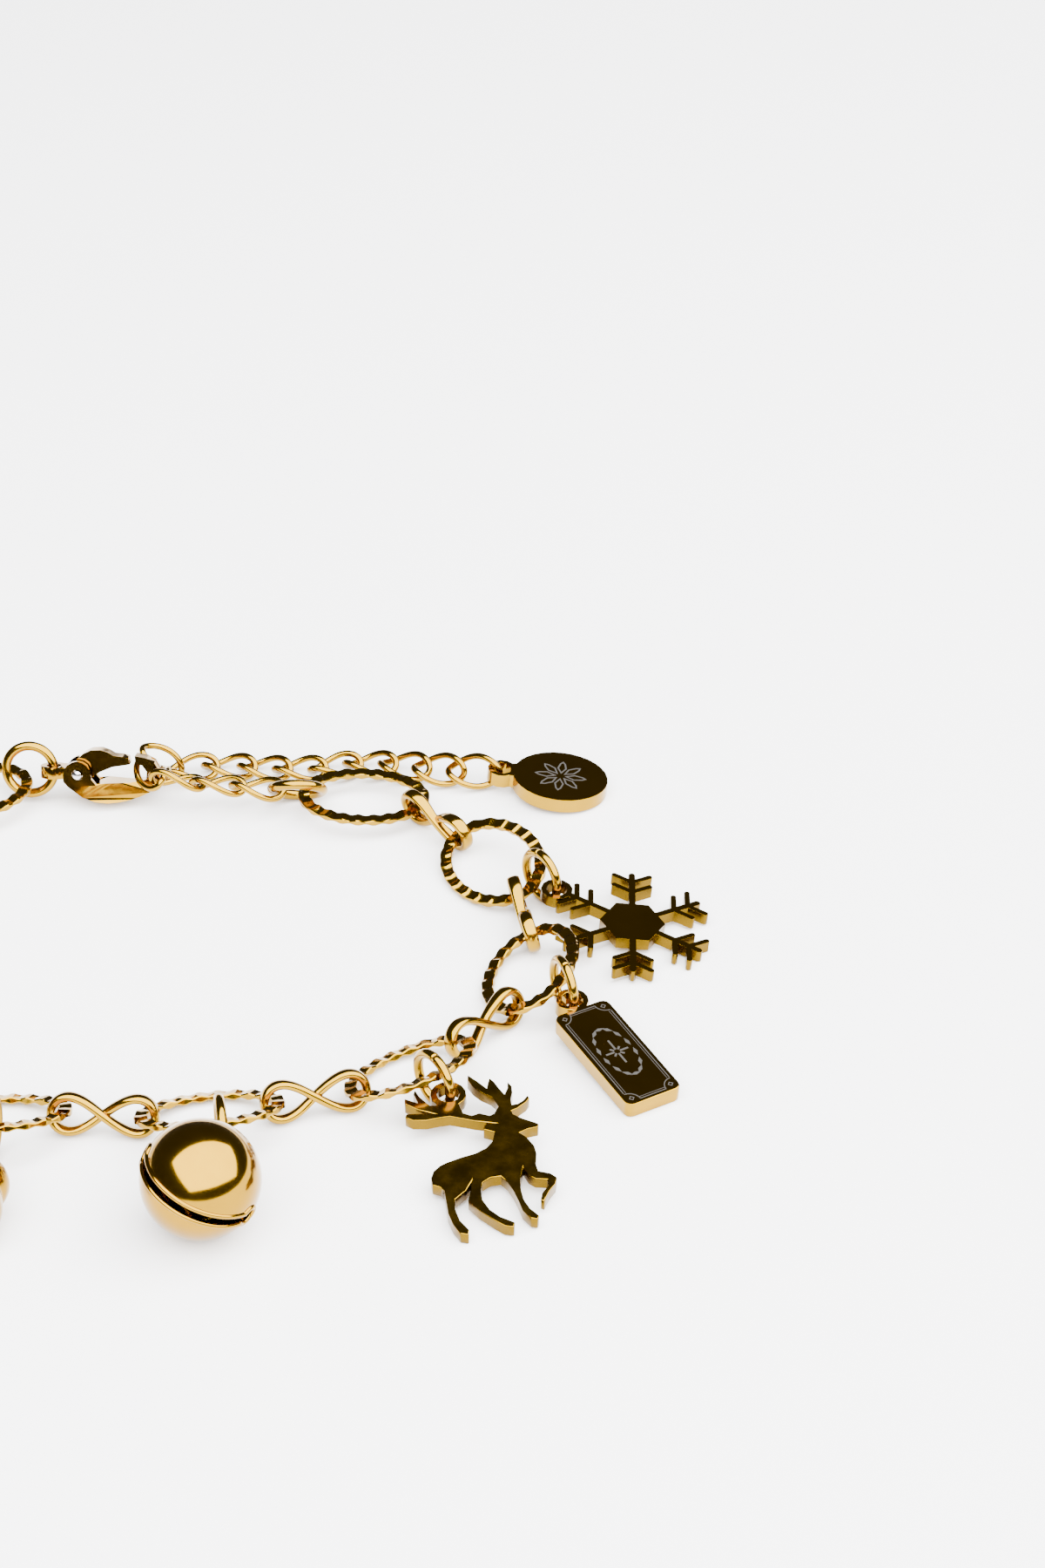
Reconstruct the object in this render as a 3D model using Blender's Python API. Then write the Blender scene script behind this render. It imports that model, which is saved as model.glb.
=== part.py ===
"""Charm bracelet: oval and figure-eight links, clasp, extender chain and six charms.

Run with Blender 4.5. Lengths are written in millimetres and turned into metres
where the meshes are made. +Z is up and the bracelet lies on the plane Z = 0.
"""
import math

import bmesh
import bpy
import numpy as np
from mathutils import Matrix, Vector
from mathutils.geometry import tessellate_polygon

MM = 0.001
CENTRE = (-27.2, -27.06)        # middle of the laid-out bracelet in the layout's own X and Y

# Oval links
OVAL_COUNT = 11
OVAL_LENGTH = 10.4
OVAL_WIDTH = 7.6
OVAL_BAND = 0.95
OVAL_THICKNESS = 0.5
OVAL_FLUTES = 24
OVAL_FLUTE_DEPTH = 0.12
OVAL_HEIGHT = 1.42               # height of a level oval's middle
OVAL_ROLLS = (0.0, 20.0, 24.0, 22.0, 22.0, 22.0)    # outer rails raised on the charm rings

# Figure-eight links
EIGHT_LENGTH = 7.8
EIGHT_WIDTH = 3.1
EIGHT_BAND = 1.0
EIGHT_THICKNESS = 0.45
EIGHT_SEGMENTS = 12              # per loop
EIGHT_PLAY = 0.36                # room between two linked wires

# Layout of the chain: headings in degrees, clockwise round the loop
CHAIN_START = (-12.5, -4.1)
OVAL_HEADINGS = (-2.2, -59.0, -97.0, -140.0, -169.0, -176.0)
EIGHT_HEADINGS = (-48.0, -79.0, -131.0, -165.0, -183.0)
EIGHT_LEANS = (12.0, 12.0, 14.0, 20.0, 20.0)
HIDDEN_LINKS = 9                 # eights and ovals that the photo's edge hides
HIDDEN_LEAN = 12.0
LAST_OVAL_HEADING = -338.0
LAST_OVAL_CENTRE = (-43.75, -3.85)
LAST_OVAL_LIFT = 0.45            # its end is carried by the clasp ring

# Curb links of the extender
CURB_LENGTH = 4.7
CURB_WIDTH = 3.0
CURB_WIRE = 0.52
CURB_TWIST = 45.0
CURB_SEGMENTS = 14
RETURN_JOINTS = ((-19.4, -3.6, 1.82), (-22.43, -3.46, 2.06), (-25.58, -3.73, 2.51), (-28.66, -3.97, 3.26))
RETURN_ROLLS = (9.2, 18.8, 32.3)
HOOKED_CENTRE = (-29.24, -2.387, 2.634)    # the link in which the clasp is hooked
HOOKED_HEADING = 110.2
HOOKED_ROLL = -3.4
HOOKED_PITCH = -5.0
FREE_JOINTS = ((-29.74, -0.4, 3.02), (-28.03, 0.39, 1.02))
FREE_ROLLS = (57.2, 10.2)
FREE_ROUTE = ((-24.99, 1.34, 0.87), (-21.3, 1.2, 0.85), (-18.6, 0.8, 0.85), (-16.2, 1.0, 0.85), (-13.8, 1.7, 0.85),
              (-11.2, 1.6, 0.95), (-8.6, 0.8, 1.1), (-5.6, 0.0, 1.3), (-2.45, -0.5, 1.5))
FREE_LINKS = 10

# Jump rings
RING_SEGMENTS = 14
RING_SIDES = 6
CHARM_RING_DIAMETER = 4.5
CHARM_RING_WIRE = 0.7
BELL_RING_DIAMETER = 5.2
BAUBLE_RING_DIAMETER = 6.0
CLASP_RING_DIAMETER = 4.6
CLASP_RING_WIRE = 0.75
EXTENDER_RING_DIAMETER = 4.8
EXTENDER_RING_WIRE = 0.8
EXTENDER_RING_CENTRE = (-17.76, -3.6, 1.82)
EXTENDER_RING_TILT = 45.0

# Flat charms
EAR_HOLE = 1.6
EAR_DIAMETER = 2.5
CHARM_THICKNESS = 0.9
SNOW_RADIUS = 5.89
SNOW_CORE = 2.45
SNOW_STEM = 0.5
SNOW_BRANCH_WIDTH = 0.42
SNOW_BRANCH_LENGTH = 1.75
SNOW_BRANCH_ROOTS = (3.6, 4.8)
SNOW_EAR_REACH = 6.55
TICKET_WIDTH = 4.4
TICKET_LENGTH = 10.3
TICKET_THICKNESS = 1.2
TICKET_CORNER = 0.55
DEER_WIDTH = 10.4
DEER_HEIGHT = 15.1
TAG_LENGTH = 7.6
TAG_WIDTH = 6.9
TAG_THICKNESS = 1.15
TAG_TILT = 5.2

# Where the charms hang: each ear's middle, its ring's heading and where the ring crosses the ear
EAR_RISE = 1.6
SNOW_EAR = (2.52, -17.47)
SNOW_HEADING = -31.0
SNOW_RING_HEADING = -52.8
SNOW_CROSSING = (0.0, -0.1)
TICKET_EAR = (3.5, -31.3)
TICKET_HEADING = -60.0
TICKET_RING_HEADING = -68.7
TICKET_CROSSING = (0.11, -0.22)
DEER_EAR_SPOT = (-5.1, -41.85)
DEER_RING_HEADING = -52.9
DEER_CROSSING = (0.09, -0.18)

# Bell and bauble
BELL_DIAMETER = 8.0
BELL_WALL = 0.4
BELL_SLOT = 0.7
BELL_SLOT_HOLE = 1.3
BELL_SLOT_TURN = 24.0
BELL_CENTRE = (-21.0, -53.2)
BELL_RAIL = 96.0
BELL_HEADING = 75.0
BELL_DIP = 12.0                  # its loop end lies lower
LOOP_DIAMETER = 2.5
LOOP_WIRE = 0.6
PELLET_DIAMETER = 2.6
BAUBLE_DIAMETER = 4.9
BAUBLE_BODY = 3.3
BAUBLE_COLLAR_DIAMETER = 5.2
BAUBLE_COLLAR = 2.0
BAUBLE_CENTRE = (-36.3, -53.0)   # where its collar meets its body
BAUBLE_HEADING = 90.0
BAUBLE_RAIL = 88.0

# Clasp
CLASP_THICKNESS = 2.4
CLASP_NOSE_THICKNESS = 1.2
CLASP_LEAN = 18.0
CLASP_ORIGIN = (-38.2, -2.6)
CLASP_HEADING = -3.2
CLASP_LIFT = 0.34
HINGE_U = 3.1
HINGE_V = 2.3
HINGE_HOLE = 0.94
RIVET_DIAMETER = 0.7
FORK_WIDTH = 1.5
LEVER_THICKNESS = 1.1
BAIL_HOLE = 1.2
BAIL_DIAMETER = 2.1
BAIL_THICKNESS = 0.9
BAIL_U = 1.05

DEER_SHARES = (
    (0.861, 0.692), (0.885, 0.682), (0.88, 0.662), (0.813, 0.649), (0.76, 0.626),
    (0.808, 0.596), (0.856, 0.543), (0.87, 0.497), (0.865, 0.43), (0.88, 0.387),
    (0.957, 0.374), (1.0, 0.348), (0.99, 0.308), (0.952, 0.265), (0.928, 0.225),
    (0.918, 0.202), (0.894, 0.209), (0.904, 0.252), (0.942, 0.298), (0.938, 0.334),
    (0.861, 0.338), (0.817, 0.361), (0.784, 0.411), (0.764, 0.338), (0.769, 0.272),
    (0.788, 0.212), (0.827, 0.159), (0.885, 0.116), (0.875, 0.093), (0.832, 0.099),
    (0.779, 0.146), (0.755, 0.199), (0.721, 0.265), (0.683, 0.318), (0.639, 0.354),
    (0.572, 0.344), (0.524, 0.315), (0.514, 0.272), (0.524, 0.212), (0.572, 0.152),
    (0.639, 0.109), (0.731, 0.076), (0.726, 0.046), (0.668, 0.053), (0.591, 0.093),
    (0.505, 0.146), (0.433, 0.205), (0.447, 0.265), (0.452, 0.318), (0.418, 0.265),
    (0.351, 0.212), (0.351, 0.159), (0.385, 0.086), (0.442, 0.033), (0.442, 0.0),
    (0.389, 0.007), (0.341, 0.06), (0.308, 0.126), (0.293, 0.199), (0.279, 0.265),
    (0.255, 0.285), (0.202, 0.298), (0.192, 0.344), (0.207, 0.384), (0.245, 0.417),
    (0.293, 0.44), (0.38, 0.47), (0.476, 0.497), (0.543, 0.53), (0.582, 0.57),
    (0.596, 0.629), (0.524, 0.646), (0.529, 0.675), (0.591, 0.685), (0.466, 0.699),
    (0.38, 0.715), (0.303, 0.728), (0.236, 0.719), (0.149, 0.702), (0.063, 0.702),
    (0.01, 0.725), (0.019, 0.745), (0.188, 0.748), (0.091, 0.772), (0.005, 0.808),
    (0.0, 0.844), (0.091, 0.815), (0.058, 0.874), (0.067, 0.901), (0.101, 0.854),
    (0.168, 0.801), (0.212, 0.8))
DEER_EAR = (0.288, 0.874)
DEER_SHARES_AFTER_EAR = (
    (0.364, 0.8), (0.389, 0.752), (0.447, 0.735), (0.495, 0.752), (0.563, 0.735),
    (0.591, 0.748), (0.62, 0.795), (0.596, 0.834), (0.567, 0.858), (0.505, 0.884),
    (0.452, 0.921), (0.413, 0.967), (0.413, 1.0), (0.476, 0.96), (0.543, 0.911),
    (0.548, 0.947), (0.558, 0.98), (0.591, 0.954), (0.625, 0.911), (0.659, 0.874),
    (0.678, 0.914), (0.678, 0.957), (0.707, 0.927), (0.712, 0.887), (0.702, 0.841),
    (0.707, 0.805), (0.745, 0.811), (0.779, 0.831), (0.813, 0.868), (0.824, 0.848),
    (0.803, 0.821), (0.745, 0.781), (0.707, 0.765), (0.716, 0.745), (0.774, 0.719))


def clear_scene():
    for item in list(bpy.data.objects):
        bpy.data.objects.remove(item, do_unlink=True)


def make_material(name, colour, roughness):
    material = bpy.data.materials.new(name)
    material.use_nodes = True
    shader = material.node_tree.nodes["Principled BSDF"]
    shader.inputs["Base Color"].default_value = (*colour, 1.0)
    shader.inputs["Metallic"].default_value = 1.0
    shader.inputs["Roughness"].default_value = roughness
    material.diffuse_color = (*colour, 1.0)
    return material


GOLD = (0.90, 0.62, 0.24)
PALE_GOLD = (0.93, 0.70, 0.34)
DEEP_GOLD = (0.82, 0.53, 0.18)
STEEL = (0.72, 0.72, 0.74)


def add_object(name, mesh_data, colour, pose, roughness=0.2, smooth=False):
    """Make one object from a bmesh in millimetres and place it by its pose."""
    mesh = bpy.data.meshes.new(name)
    bmesh.ops.recalc_face_normals(mesh_data, faces=mesh_data.faces)
    bmesh.ops.scale(mesh_data, vec=Vector((MM, MM, MM)), verts=mesh_data.verts)
    mesh_data.to_mesh(mesh)
    mesh_data.free()
    mesh.materials.append(make_material(name + "_material", colour, roughness))
    for polygon in mesh.polygons:
        polygon.use_smooth = smooth
    item = bpy.data.objects.new(name, mesh)
    bpy.context.collection.objects.link(item)
    placed = pose.copy()
    placed.translation = (pose.translation - Vector((*CENTRE, 0.0))) * MM
    item.matrix_basis = placed
    return item


def frame(origin, x_axis, y_axis):
    """A pose from an origin and two directions; the third is square to both."""
    x = Vector(x_axis).normalized()
    z = x.cross(Vector(y_axis)).normalized()
    y = z.cross(x)
    pose = Matrix((x, y, z)).transposed().to_4x4()
    pose.translation = Vector(origin)
    return pose


def heading_pose(origin, heading, roll=0.0, pitch=0.0):
    turn = Matrix.Rotation(math.radians(heading), 4, "Z")
    lift = Matrix.Rotation(math.radians(-pitch), 4, "Y")
    lean = Matrix.Rotation(math.radians(roll), 4, "X")
    return Matrix.Translation(Vector(origin)) @ turn @ lift @ lean


def direction(heading):
    return Vector((math.cos(math.radians(heading)), math.sin(math.radians(heading)), 0.0))


def close_tube(data, rows):
    """Join closed rows of vertices into a closed ring."""
    count = len(rows)
    for i in range(count):
        here = rows[i]
        there = rows[(i + 1) % count]
        sides = len(here)
        for j in range(sides):
            k = (j + 1) % sides
            data.faces.new((here[j], there[j], there[k], here[k]))


def wire_ring(diameter, wire, segments=RING_SEGMENTS, sides=RING_SIDES):
    """A round ring of round wire in the XY plane."""
    data = bmesh.new()
    middle = (diameter - wire) / 2.0
    rows = []
    for i in range(segments):
        a = math.tau * i / segments
        row = []
        for j in range(sides):
            b = math.tau * (j + 0.5) / sides
            r = middle + wire / 2.0 * math.cos(b)
            row.append(data.verts.new((r * math.cos(a), r * math.sin(a), wire / 2.0 * math.sin(b))))
        rows.append(row)
    close_tube(data, rows)
    return data


def oval_link():
    """A flat oval ring whose two faces carry cross flutes."""
    data = bmesh.new()
    a = (OVAL_LENGTH - OVAL_BAND) / 2.0
    b = (OVAL_WIDTH - OVAL_BAND) / 2.0
    stations = 2 * OVAL_FLUTES
    # even steps along the curve
    fine = [math.tau * i / 2400 for i in range(2401)]
    run = [0.0]
    for i in range(1, 2401):
        mid = (fine[i] + fine[i - 1]) / 2.0
        run.append(run[-1] + math.hypot(a * math.sin(mid), b * math.cos(mid)))
    rows = []
    for i in range(stations):
        t = np.interp(run[-1] * i / stations, run, fine)
        n = Vector((math.cos(t) / a, math.sin(t) / b, 0.0)).normalized()
        p = Vector((a * math.cos(t), b * math.sin(t), 0.0))
        ridge = i % 2 == 0
        half = OVAL_THICKNESS / 2.0 - (0.0 if ridge else OVAL_FLUTE_DEPTH)
        side = OVAL_BAND / 2.0 - (0.0 if ridge else 0.03)
        row = []
        for s, h in ((side, -half), (side, half), (-side, half), (-side, -half)):
            q = p + n * s
            row.append(data.verts.new((q.x, q.y, h)))
        rows.append(row)
    close_tube(data, rows)
    return data


def eight_link():
    """A figure eight of flattened wire in the XZ plane; Y is across the band."""
    a = (EIGHT_LENGTH - EIGHT_THICKNESS) / 2.0
    top = (EIGHT_WIDTH - EIGHT_THICKNESS) / 2.0
    w = EIGHT_BAND / 2.0
    t = EIGHT_THICKNESS / 2.0

    def middle(s):
        return Vector((a * math.cos(s), 0.0, top * math.sin(2 * s) * (1 + 0.3 * math.sin(s) ** 2) / 1.16))

    def offset(s, d):
        step = 1e-4
        along = (middle(s + step) - middle(s - step)).normalized()
        return middle(s) + Vector((-along.z, 0.0, along.x)) * -d

    def root(test, low, high):
        sign = test(low) > 0
        for _ in range(60):
            mid = (low + high) / 2.0
            if (test(mid) > 0) == sign:
                low = mid
            else:
                high = mid
        return (low + high) / 2.0

    # the upper half of the right loop runs from its end (s = 0) to the crossing (s = pi / 2)
    data = bmesh.new()
    section = ((-t, -w), (-0.05 * t, -w), (t, -0.27 * w), (t, 0.27 * w), (-0.05 * t, w), (-t, w))
    half = EIGHT_SEGMENTS // 2
    rows = []
    for i in range(half + 1):
        share = i / half
        row = []
        for d, y in section:
            if d < 0:
                # inner curves of the loop meet on the long axis
                stop = root(lambda s, d=d: offset(s, d).z, math.pi / 4, math.pi / 2)
            else:
                # outer curves meet their mirror image above the crossing
                stop = root(lambda s, d=d: offset(s, d).x, math.pi / 4, math.pi / 2 + 0.3)
            p = offset(stop * share, d)
            if i == 0 or (d < 0 and i == half):
                p.z = 0.0
            if d > 0 and i == half:
                p.x = 0.0
            row.append((p.x, y, p.z))
        rows.append(row)
    for mirror_x in (1, -1):
        for mirror_z in (1, -1):
            made = [[data.verts.new((x * mirror_x, y, z * mirror_z)) for x, y, z in row] for row in rows]
            for i in range(half):
                for j in range(6):
                    k = (j + 1) % 6
                    data.faces.new((made[i][j], made[i + 1][j], made[i + 1][k], made[i][k]))
    bmesh.ops.remove_doubles(data, verts=data.verts, dist=1e-5)
    # the crossing: open rims between the inner ends and the notches are closed by flat faces
    edges = [e for e in data.edges if len(e.link_faces) == 1]
    bmesh.ops.holes_fill(data, edges=edges, sides=0)
    bmesh.ops.triangulate(data, faces=[f for f in data.faces if len(f.verts) > 4])
    return data


def curb_link():
    """A twisted oval ring: its two ends lean opposite ways."""
    data = bmesh.new()
    a = (CURB_LENGTH - CURB_WIRE) / 2.0
    b = (CURB_WIDTH - CURB_WIRE) / 2.0
    radius = CURB_WIRE / 2.0

    def point(t):
        lean = math.radians(CURB_TWIST) * math.cos(t)
        return Vector((a * math.cos(t), b * math.sin(t) * math.cos(lean), b * math.sin(t) * math.sin(lean)))

    rows = []
    for i in range(CURB_SEGMENTS):
        t = math.tau * i / CURB_SEGMENTS
        along = (point(t + 1e-3) - point(t - 1e-3)).normalized()
        out = point(t) - along * point(t).dot(along)
        out = out.normalized()
        side = along.cross(out)
        row = []
        for j in range(6):
            angle = math.tau * j / 6
            row.append(data.verts.new(point(t) + radius * (out * math.cos(angle) + side * math.sin(angle))))
        rows.append(row)
    close_tube(data, rows)
    return data


def plate(outline, holes, thickness):
    """A flat plate from an outline and its holes, its lower face on Z = 0."""
    data = bmesh.new()
    loops = [outline] + holes
    flat = [Vector((x, y, 0.0)) for loop in loops for x, y in loop]
    low = [data.verts.new((p.x, p.y, 0.0)) for p in flat]
    high = [data.verts.new((p.x, p.y, thickness)) for p in flat]
    for i, j, k in tessellate_polygon([[Vector((x, y, 0.0)) for x, y in loop] for loop in loops]):
        data.faces.new((low[i], low[j], low[k]))
        data.faces.new((high[i], high[j], high[k]))
    start = 0
    for loop in loops:
        count = len(loop)
        for i in range(count):
            j = start + (i + 1) % count
            data.faces.new((low[start + i], low[j], high[j], high[start + i]))
        start += count
    return data


def arc(cx, cy, radius, first, last, steps):
    """Points of an arc, first and last angle in degrees, both ends included."""
    out = []
    for i in range(steps + 1):
        angle = math.radians(first + (last - first) * i / steps)
        out.append((cx + radius * math.cos(angle), cy + radius * math.sin(angle)))
    return out


def circle(cx, cy, radius, steps):
    return arc(cx, cy, radius, 0.0, 360.0 - 360.0 / steps, steps - 1)


def snowflake_mesh():
    """Six-armed star; the arm along -X ends in the ear."""
    w = SNOW_STEM / 2.0
    half = SNOW_BRANCH_WIDTH / 2.0
    side = math.sin(math.radians(60.0))
    core_x = SNOW_CORE * side

    def branch(root):
        """One branch on the +Y side of the arm, from its inner foot to its outer foot."""
        inner = (w - half * 0.5) / side
        outer = (w + half * 0.5) / side
        points = []
        for reach, shift in ((inner, -half), (SNOW_BRANCH_LENGTH - 0.12, -half),
                             (SNOW_BRANCH_LENGTH, -0.4 * half), (SNOW_BRANCH_LENGTH, 0.4 * half),
                             (SNOW_BRANCH_LENGTH - 0.12, half), (outer, half)):
            points.append((root + reach * 0.5 + shift * side, reach * side - shift * 0.5))
        return points

    upper = [(core_x, w)]
    for root in SNOW_BRANCH_ROOTS:
        upper += branch(root)
    tip = [(SNOW_RADIUS - 0.2, w), (SNOW_RADIUS, 0.4 * w)]
    outline = []
    for arm in range(6):
        angle = math.radians(180.0 + 60.0 * arm)
        if arm == 0:
            ear = EAR_DIAMETER / 2.0 - 0.05
            meet = math.degrees(math.asin(w / ear))
            end = arc(SNOW_EAR_REACH, 0.0, ear, -180.0 + meet, 180.0 - meet, 12)
            points = [(x, -y) for x, y in upper] + end + upper[::-1]
        else:
            points = [(x, -y) for x, y in upper + tip] + (upper + tip)[::-1]
        corner = math.radians(30.0)
        points.append((SNOW_CORE * math.cos(corner), SNOW_CORE * math.sin(corner)))
        for x, y in points:
            outline.append((x * math.cos(angle) - y * math.sin(angle), x * math.sin(angle) + y * math.cos(angle)))
    hole = circle(-SNOW_EAR_REACH, 0.0, EAR_HOLE / 2.0, 10)
    return plate(outline, [hole], CHARM_THICKNESS)


def ticket_mesh():
    """A long plate with round corners; its ear stands on the end at -X, the hole at the origin."""
    w = TICKET_WIDTH / 2.0
    c = TICKET_CORNER
    near = 1.03
    far = near + TICKET_LENGTH
    ear = EAR_DIAMETER / 2.0 - 0.05
    meet = math.degrees(math.acos(near / ear))
    outline = arc(far - c, -w + c, c, -90.0, 0.0, 3)
    outline += arc(far - c, w - c, c, 0.0, 90.0, 3)
    outline += arc(near + c, w - c, c, 90.0, 180.0, 3)
    outline += arc(0.0, 0.0, ear, meet, 360.0 - meet, 12)
    outline += arc(near + c, -w + c, c, 180.0, 270.0, 3)
    return plate(outline, [circle(0.0, 0.0, EAR_HOLE / 2.0, 10)], TICKET_THICKNESS)


def deer_mesh():
    """A leaping reindeer with the ear among its antlers; X and Y start at its lower left."""
    cx = DEER_EAR[0] * DEER_WIDTH
    cy = DEER_EAR[1] * DEER_HEIGHT
    outline = [(x * DEER_WIDTH, y * DEER_HEIGHT) for x, y in DEER_SHARES]
    outline += arc(cx, cy, EAR_DIAMETER / 2.0, 232.0, -52.0, 12)
    outline += [(x * DEER_WIDTH, y * DEER_HEIGHT) for x, y in DEER_SHARES_AFTER_EAR]
    return plate(outline, [circle(cx, cy, EAR_HOLE / 2.0, 10)], CHARM_THICKNESS)


def tag_mesh():
    """An oval tag; the tab at -X has its hole at the origin."""
    ear = EAR_DIAMETER / 2.0 - 0.1
    centre = ear + TAG_LENGTH / 2.0 - 0.25
    a = TAG_LENGTH / 2.0
    b = TAG_WIDTH / 2.0
    outline = []
    for i in range(29):
        angle = math.radians(-180.0 + 16.0 + 328.0 * i / 28)
        outline.append((centre + a * math.cos(angle), b * math.sin(angle)))
    outline += arc(0.0, 0.0, ear, 48.0, 312.0, 10)
    return plate(outline, [circle(0.0, 0.0, EAR_HOLE / 2.0, 10)], TAG_THICKNESS)


def lathe(profile, sides):
    """Turn a closed profile of (radius, height) points round Z; radius 0 points are poles."""
    data = bmesh.new()
    rows = []
    for radius, height in profile:
        if radius < 1e-6:
            rows.append([data.verts.new((0.0, 0.0, height))])
        else:
            row = []
            for i in range(sides):
                angle = math.tau * (i + 0.5) / sides
                row.append(data.verts.new((radius * math.cos(angle), radius * math.sin(angle), height)))
            rows.append(row)
    for here, there in zip(rows, rows[1:]):
        for i in range(sides):
            j = (i + 1) % sides
            if len(here) == 1:
                data.faces.new((here[0], there[i], there[j]))
            elif len(there) == 1:
                data.faces.new((here[i], here[j], there[0]))
            else:
                data.faces.new((here[i], here[j], there[j], there[i]))
    return data


def cut(item, cutter, operation="DIFFERENCE"):
    modifier = item.modifiers.new("Boolean", "BOOLEAN")
    modifier.operation = operation
    modifier.solver = "EXACT"
    modifier.object = cutter
    cutter.display_type = "WIRE"
    cutter.hide_render = True


def helper(name, data, pose):
    item = add_object(name, data, STEEL, pose)
    item.display_type = "WIRE"
    item.hide_render = True
    return item


def box(x0, x1, y0, y1, z0, z1):
    data = bmesh.new()
    bmesh.ops.create_cube(data, size=1.0)
    for v in data.verts:
        v.co.x = x0 if v.co.x < 0 else x1
        v.co.y = y0 if v.co.y < 0 else y1
        v.co.z = z0 if v.co.z < 0 else z1
    return data


# Chain layout
def hole_point(bend):
    """Point and outward normal of an oval's hole where the normal is bent from its long axis."""
    a = OVAL_LENGTH / 2.0 - OVAL_BAND
    b = OVAL_WIDTH / 2.0 - OVAL_BAND
    n = Vector((math.cos(math.radians(bend)), math.sin(math.radians(bend)), 0.0))
    size = math.hypot(a * n.x, b * n.y)
    return Vector((a * a * n.x / size, b * b * n.y / size, 0.0)), n


def hooked(bend):
    """Where an eight's end wire sits in an oval's hole, for a bend between the two in degrees."""
    point, n = hole_point(bend * 0.55)
    angle = math.radians(bend * 0.45)
    reach = EIGHT_THICKNESS / 2.0 * abs(math.cos(angle)) + EIGHT_BAND / 2.0 * abs(math.sin(angle))
    return point - n * (EIGHT_PLAY + reach)


def turn(vector, heading):
    return Matrix.Rotation(math.radians(heading), 3, "Z") @ vector


def walk(start, headings):
    """Centres of alternating ovals and eights from the first oval's centre."""
    centres = [Vector((*start, 0.0))]
    span = (EIGHT_LENGTH - EIGHT_THICKNESS) / 2.0
    for i in range(1, len(headings)):
        before = headings[i - 1]
        here = headings[i]
        if i % 2 == 1:
            wire = centres[-1] + turn(hooked(here - before), before)
            centres.append(wire + direction(here) * span)
        else:
            wire = centres[-1] + direction(before) * span
            inside = turn(hooked(before - here), here + 180.0)
            centres.append(wire - inside)
    return centres


def chain_headings(first, last):
    shown = []
    for i, heading in enumerate(OVAL_HEADINGS):
        shown.append(heading)
        if i < len(EIGHT_HEADINGS):
            shown.append(EIGHT_HEADINGS[i])
    hidden = [first + (last - first) * i / (HIDDEN_LINKS - 1) for i in range(HIDDEN_LINKS)]
    return shown + hidden + [LAST_OVAL_HEADING]


def solve_chain():
    """Bend the hidden stretch evenly so that the last oval reaches its place."""
    goal = Vector((*LAST_OVAL_CENTRE, 0.0))
    first, last = -205.0, -345.0
    for _ in range(20):
        miss = walk(CHAIN_START, chain_headings(first, last))[-1] - goal
        if miss.length < 1e-6:
            break
        by_first = walk(CHAIN_START, chain_headings(first + 0.01, last))[-1] - goal - miss
        by_last = walk(CHAIN_START, chain_headings(first, last + 0.01))[-1] - goal - miss
        area = by_first.x * by_last.y - by_last.x * by_first.y
        first -= 0.01 * (miss.x * by_last.y - miss.y * by_last.x) / area
        last -= 0.01 * (miss.y * by_first.x - miss.x * by_first.y) / area
    headings = chain_headings(first, last)
    return walk(CHAIN_START, headings), headings


def build_chain():
    centres, headings = solve_chain()
    ovals = []
    for i, (centre, heading) in enumerate(zip(centres, headings)):
        number = i // 2 + 1
        if i % 2 == 0:
            roll = OVAL_ROLLS[number - 1] if number <= len(OVAL_ROLLS) else 0.0
            pitch = 0.0
            height = max(OVAL_HEIGHT, OVAL_WIDTH / 2.0 * math.sin(math.radians(roll)) + 0.27)
            if number == 1:
                pitch = -1.6
                height = 1.5
            if number == OVAL_COUNT:
                pitch = math.degrees(math.asin(LAST_OVAL_LIFT / OVAL_LENGTH))
                height = OVAL_HEIGHT + LAST_OVAL_LIFT / 2.0
            # a positive roll raises the left side, which is the outer one
            pose = heading_pose((centre.x, centre.y, height), heading, roll, pitch)
            ovals.append(pose)
            add_object("oval_link_%02d" % number, oval_link(), GOLD, pose)
        else:
            lean = EIGHT_LEANS[number - 1] if number <= len(EIGHT_LEANS) else HIDDEN_LEAN
            angle = math.radians(lean)
            height = (EIGHT_WIDTH * math.cos(angle) + EIGHT_BAND * 0.62 * math.sin(angle)) / 2.0
            pose = heading_pose((centre.x, centre.y, height), heading, lean)
            add_object("eight_link_%02d" % number, eight_link(), PALE_GOLD, pose)
    return ovals


def route_points(route, count):
    """Even steps along a route of straight pieces."""
    route = [Vector(p) for p in route]
    run = [0.0]
    for p, q in zip(route, route[1:]):
        run.append(run[-1] + (q - p).length)
    out = []
    for i in range(count + 1):
        s = run[-1] * i / count
        out.append(Vector([float(np.interp(s, run, [p[k] for p in route])) for k in range(3)]))
    return out


def clasp_pose():
    """Local X runs from bail to nose, local Y up the flat side, local Z faces the viewer."""
    lean = math.radians(CLASP_LEAN)
    along = direction(CLASP_HEADING)
    up = Vector((0.0, 0.0, 1.0)) * math.cos(lean) + Vector((-along.y, along.x, 0.0)) * math.sin(lean)
    return frame((*CLASP_ORIGIN, CLASP_LIFT), along, up)


def curb_poses(joints, rolls):
    """One link between each two joints."""
    poses = []
    for p, q, roll in zip(joints, joints[1:], rolls):
        step = q - p
        heading = math.degrees(math.atan2(step.y, step.x))
        pitch = math.degrees(math.asin(step.z / step.length))
        poses.append(heading_pose((p + q) / 2.0, heading, roll, pitch))
    return poses


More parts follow.
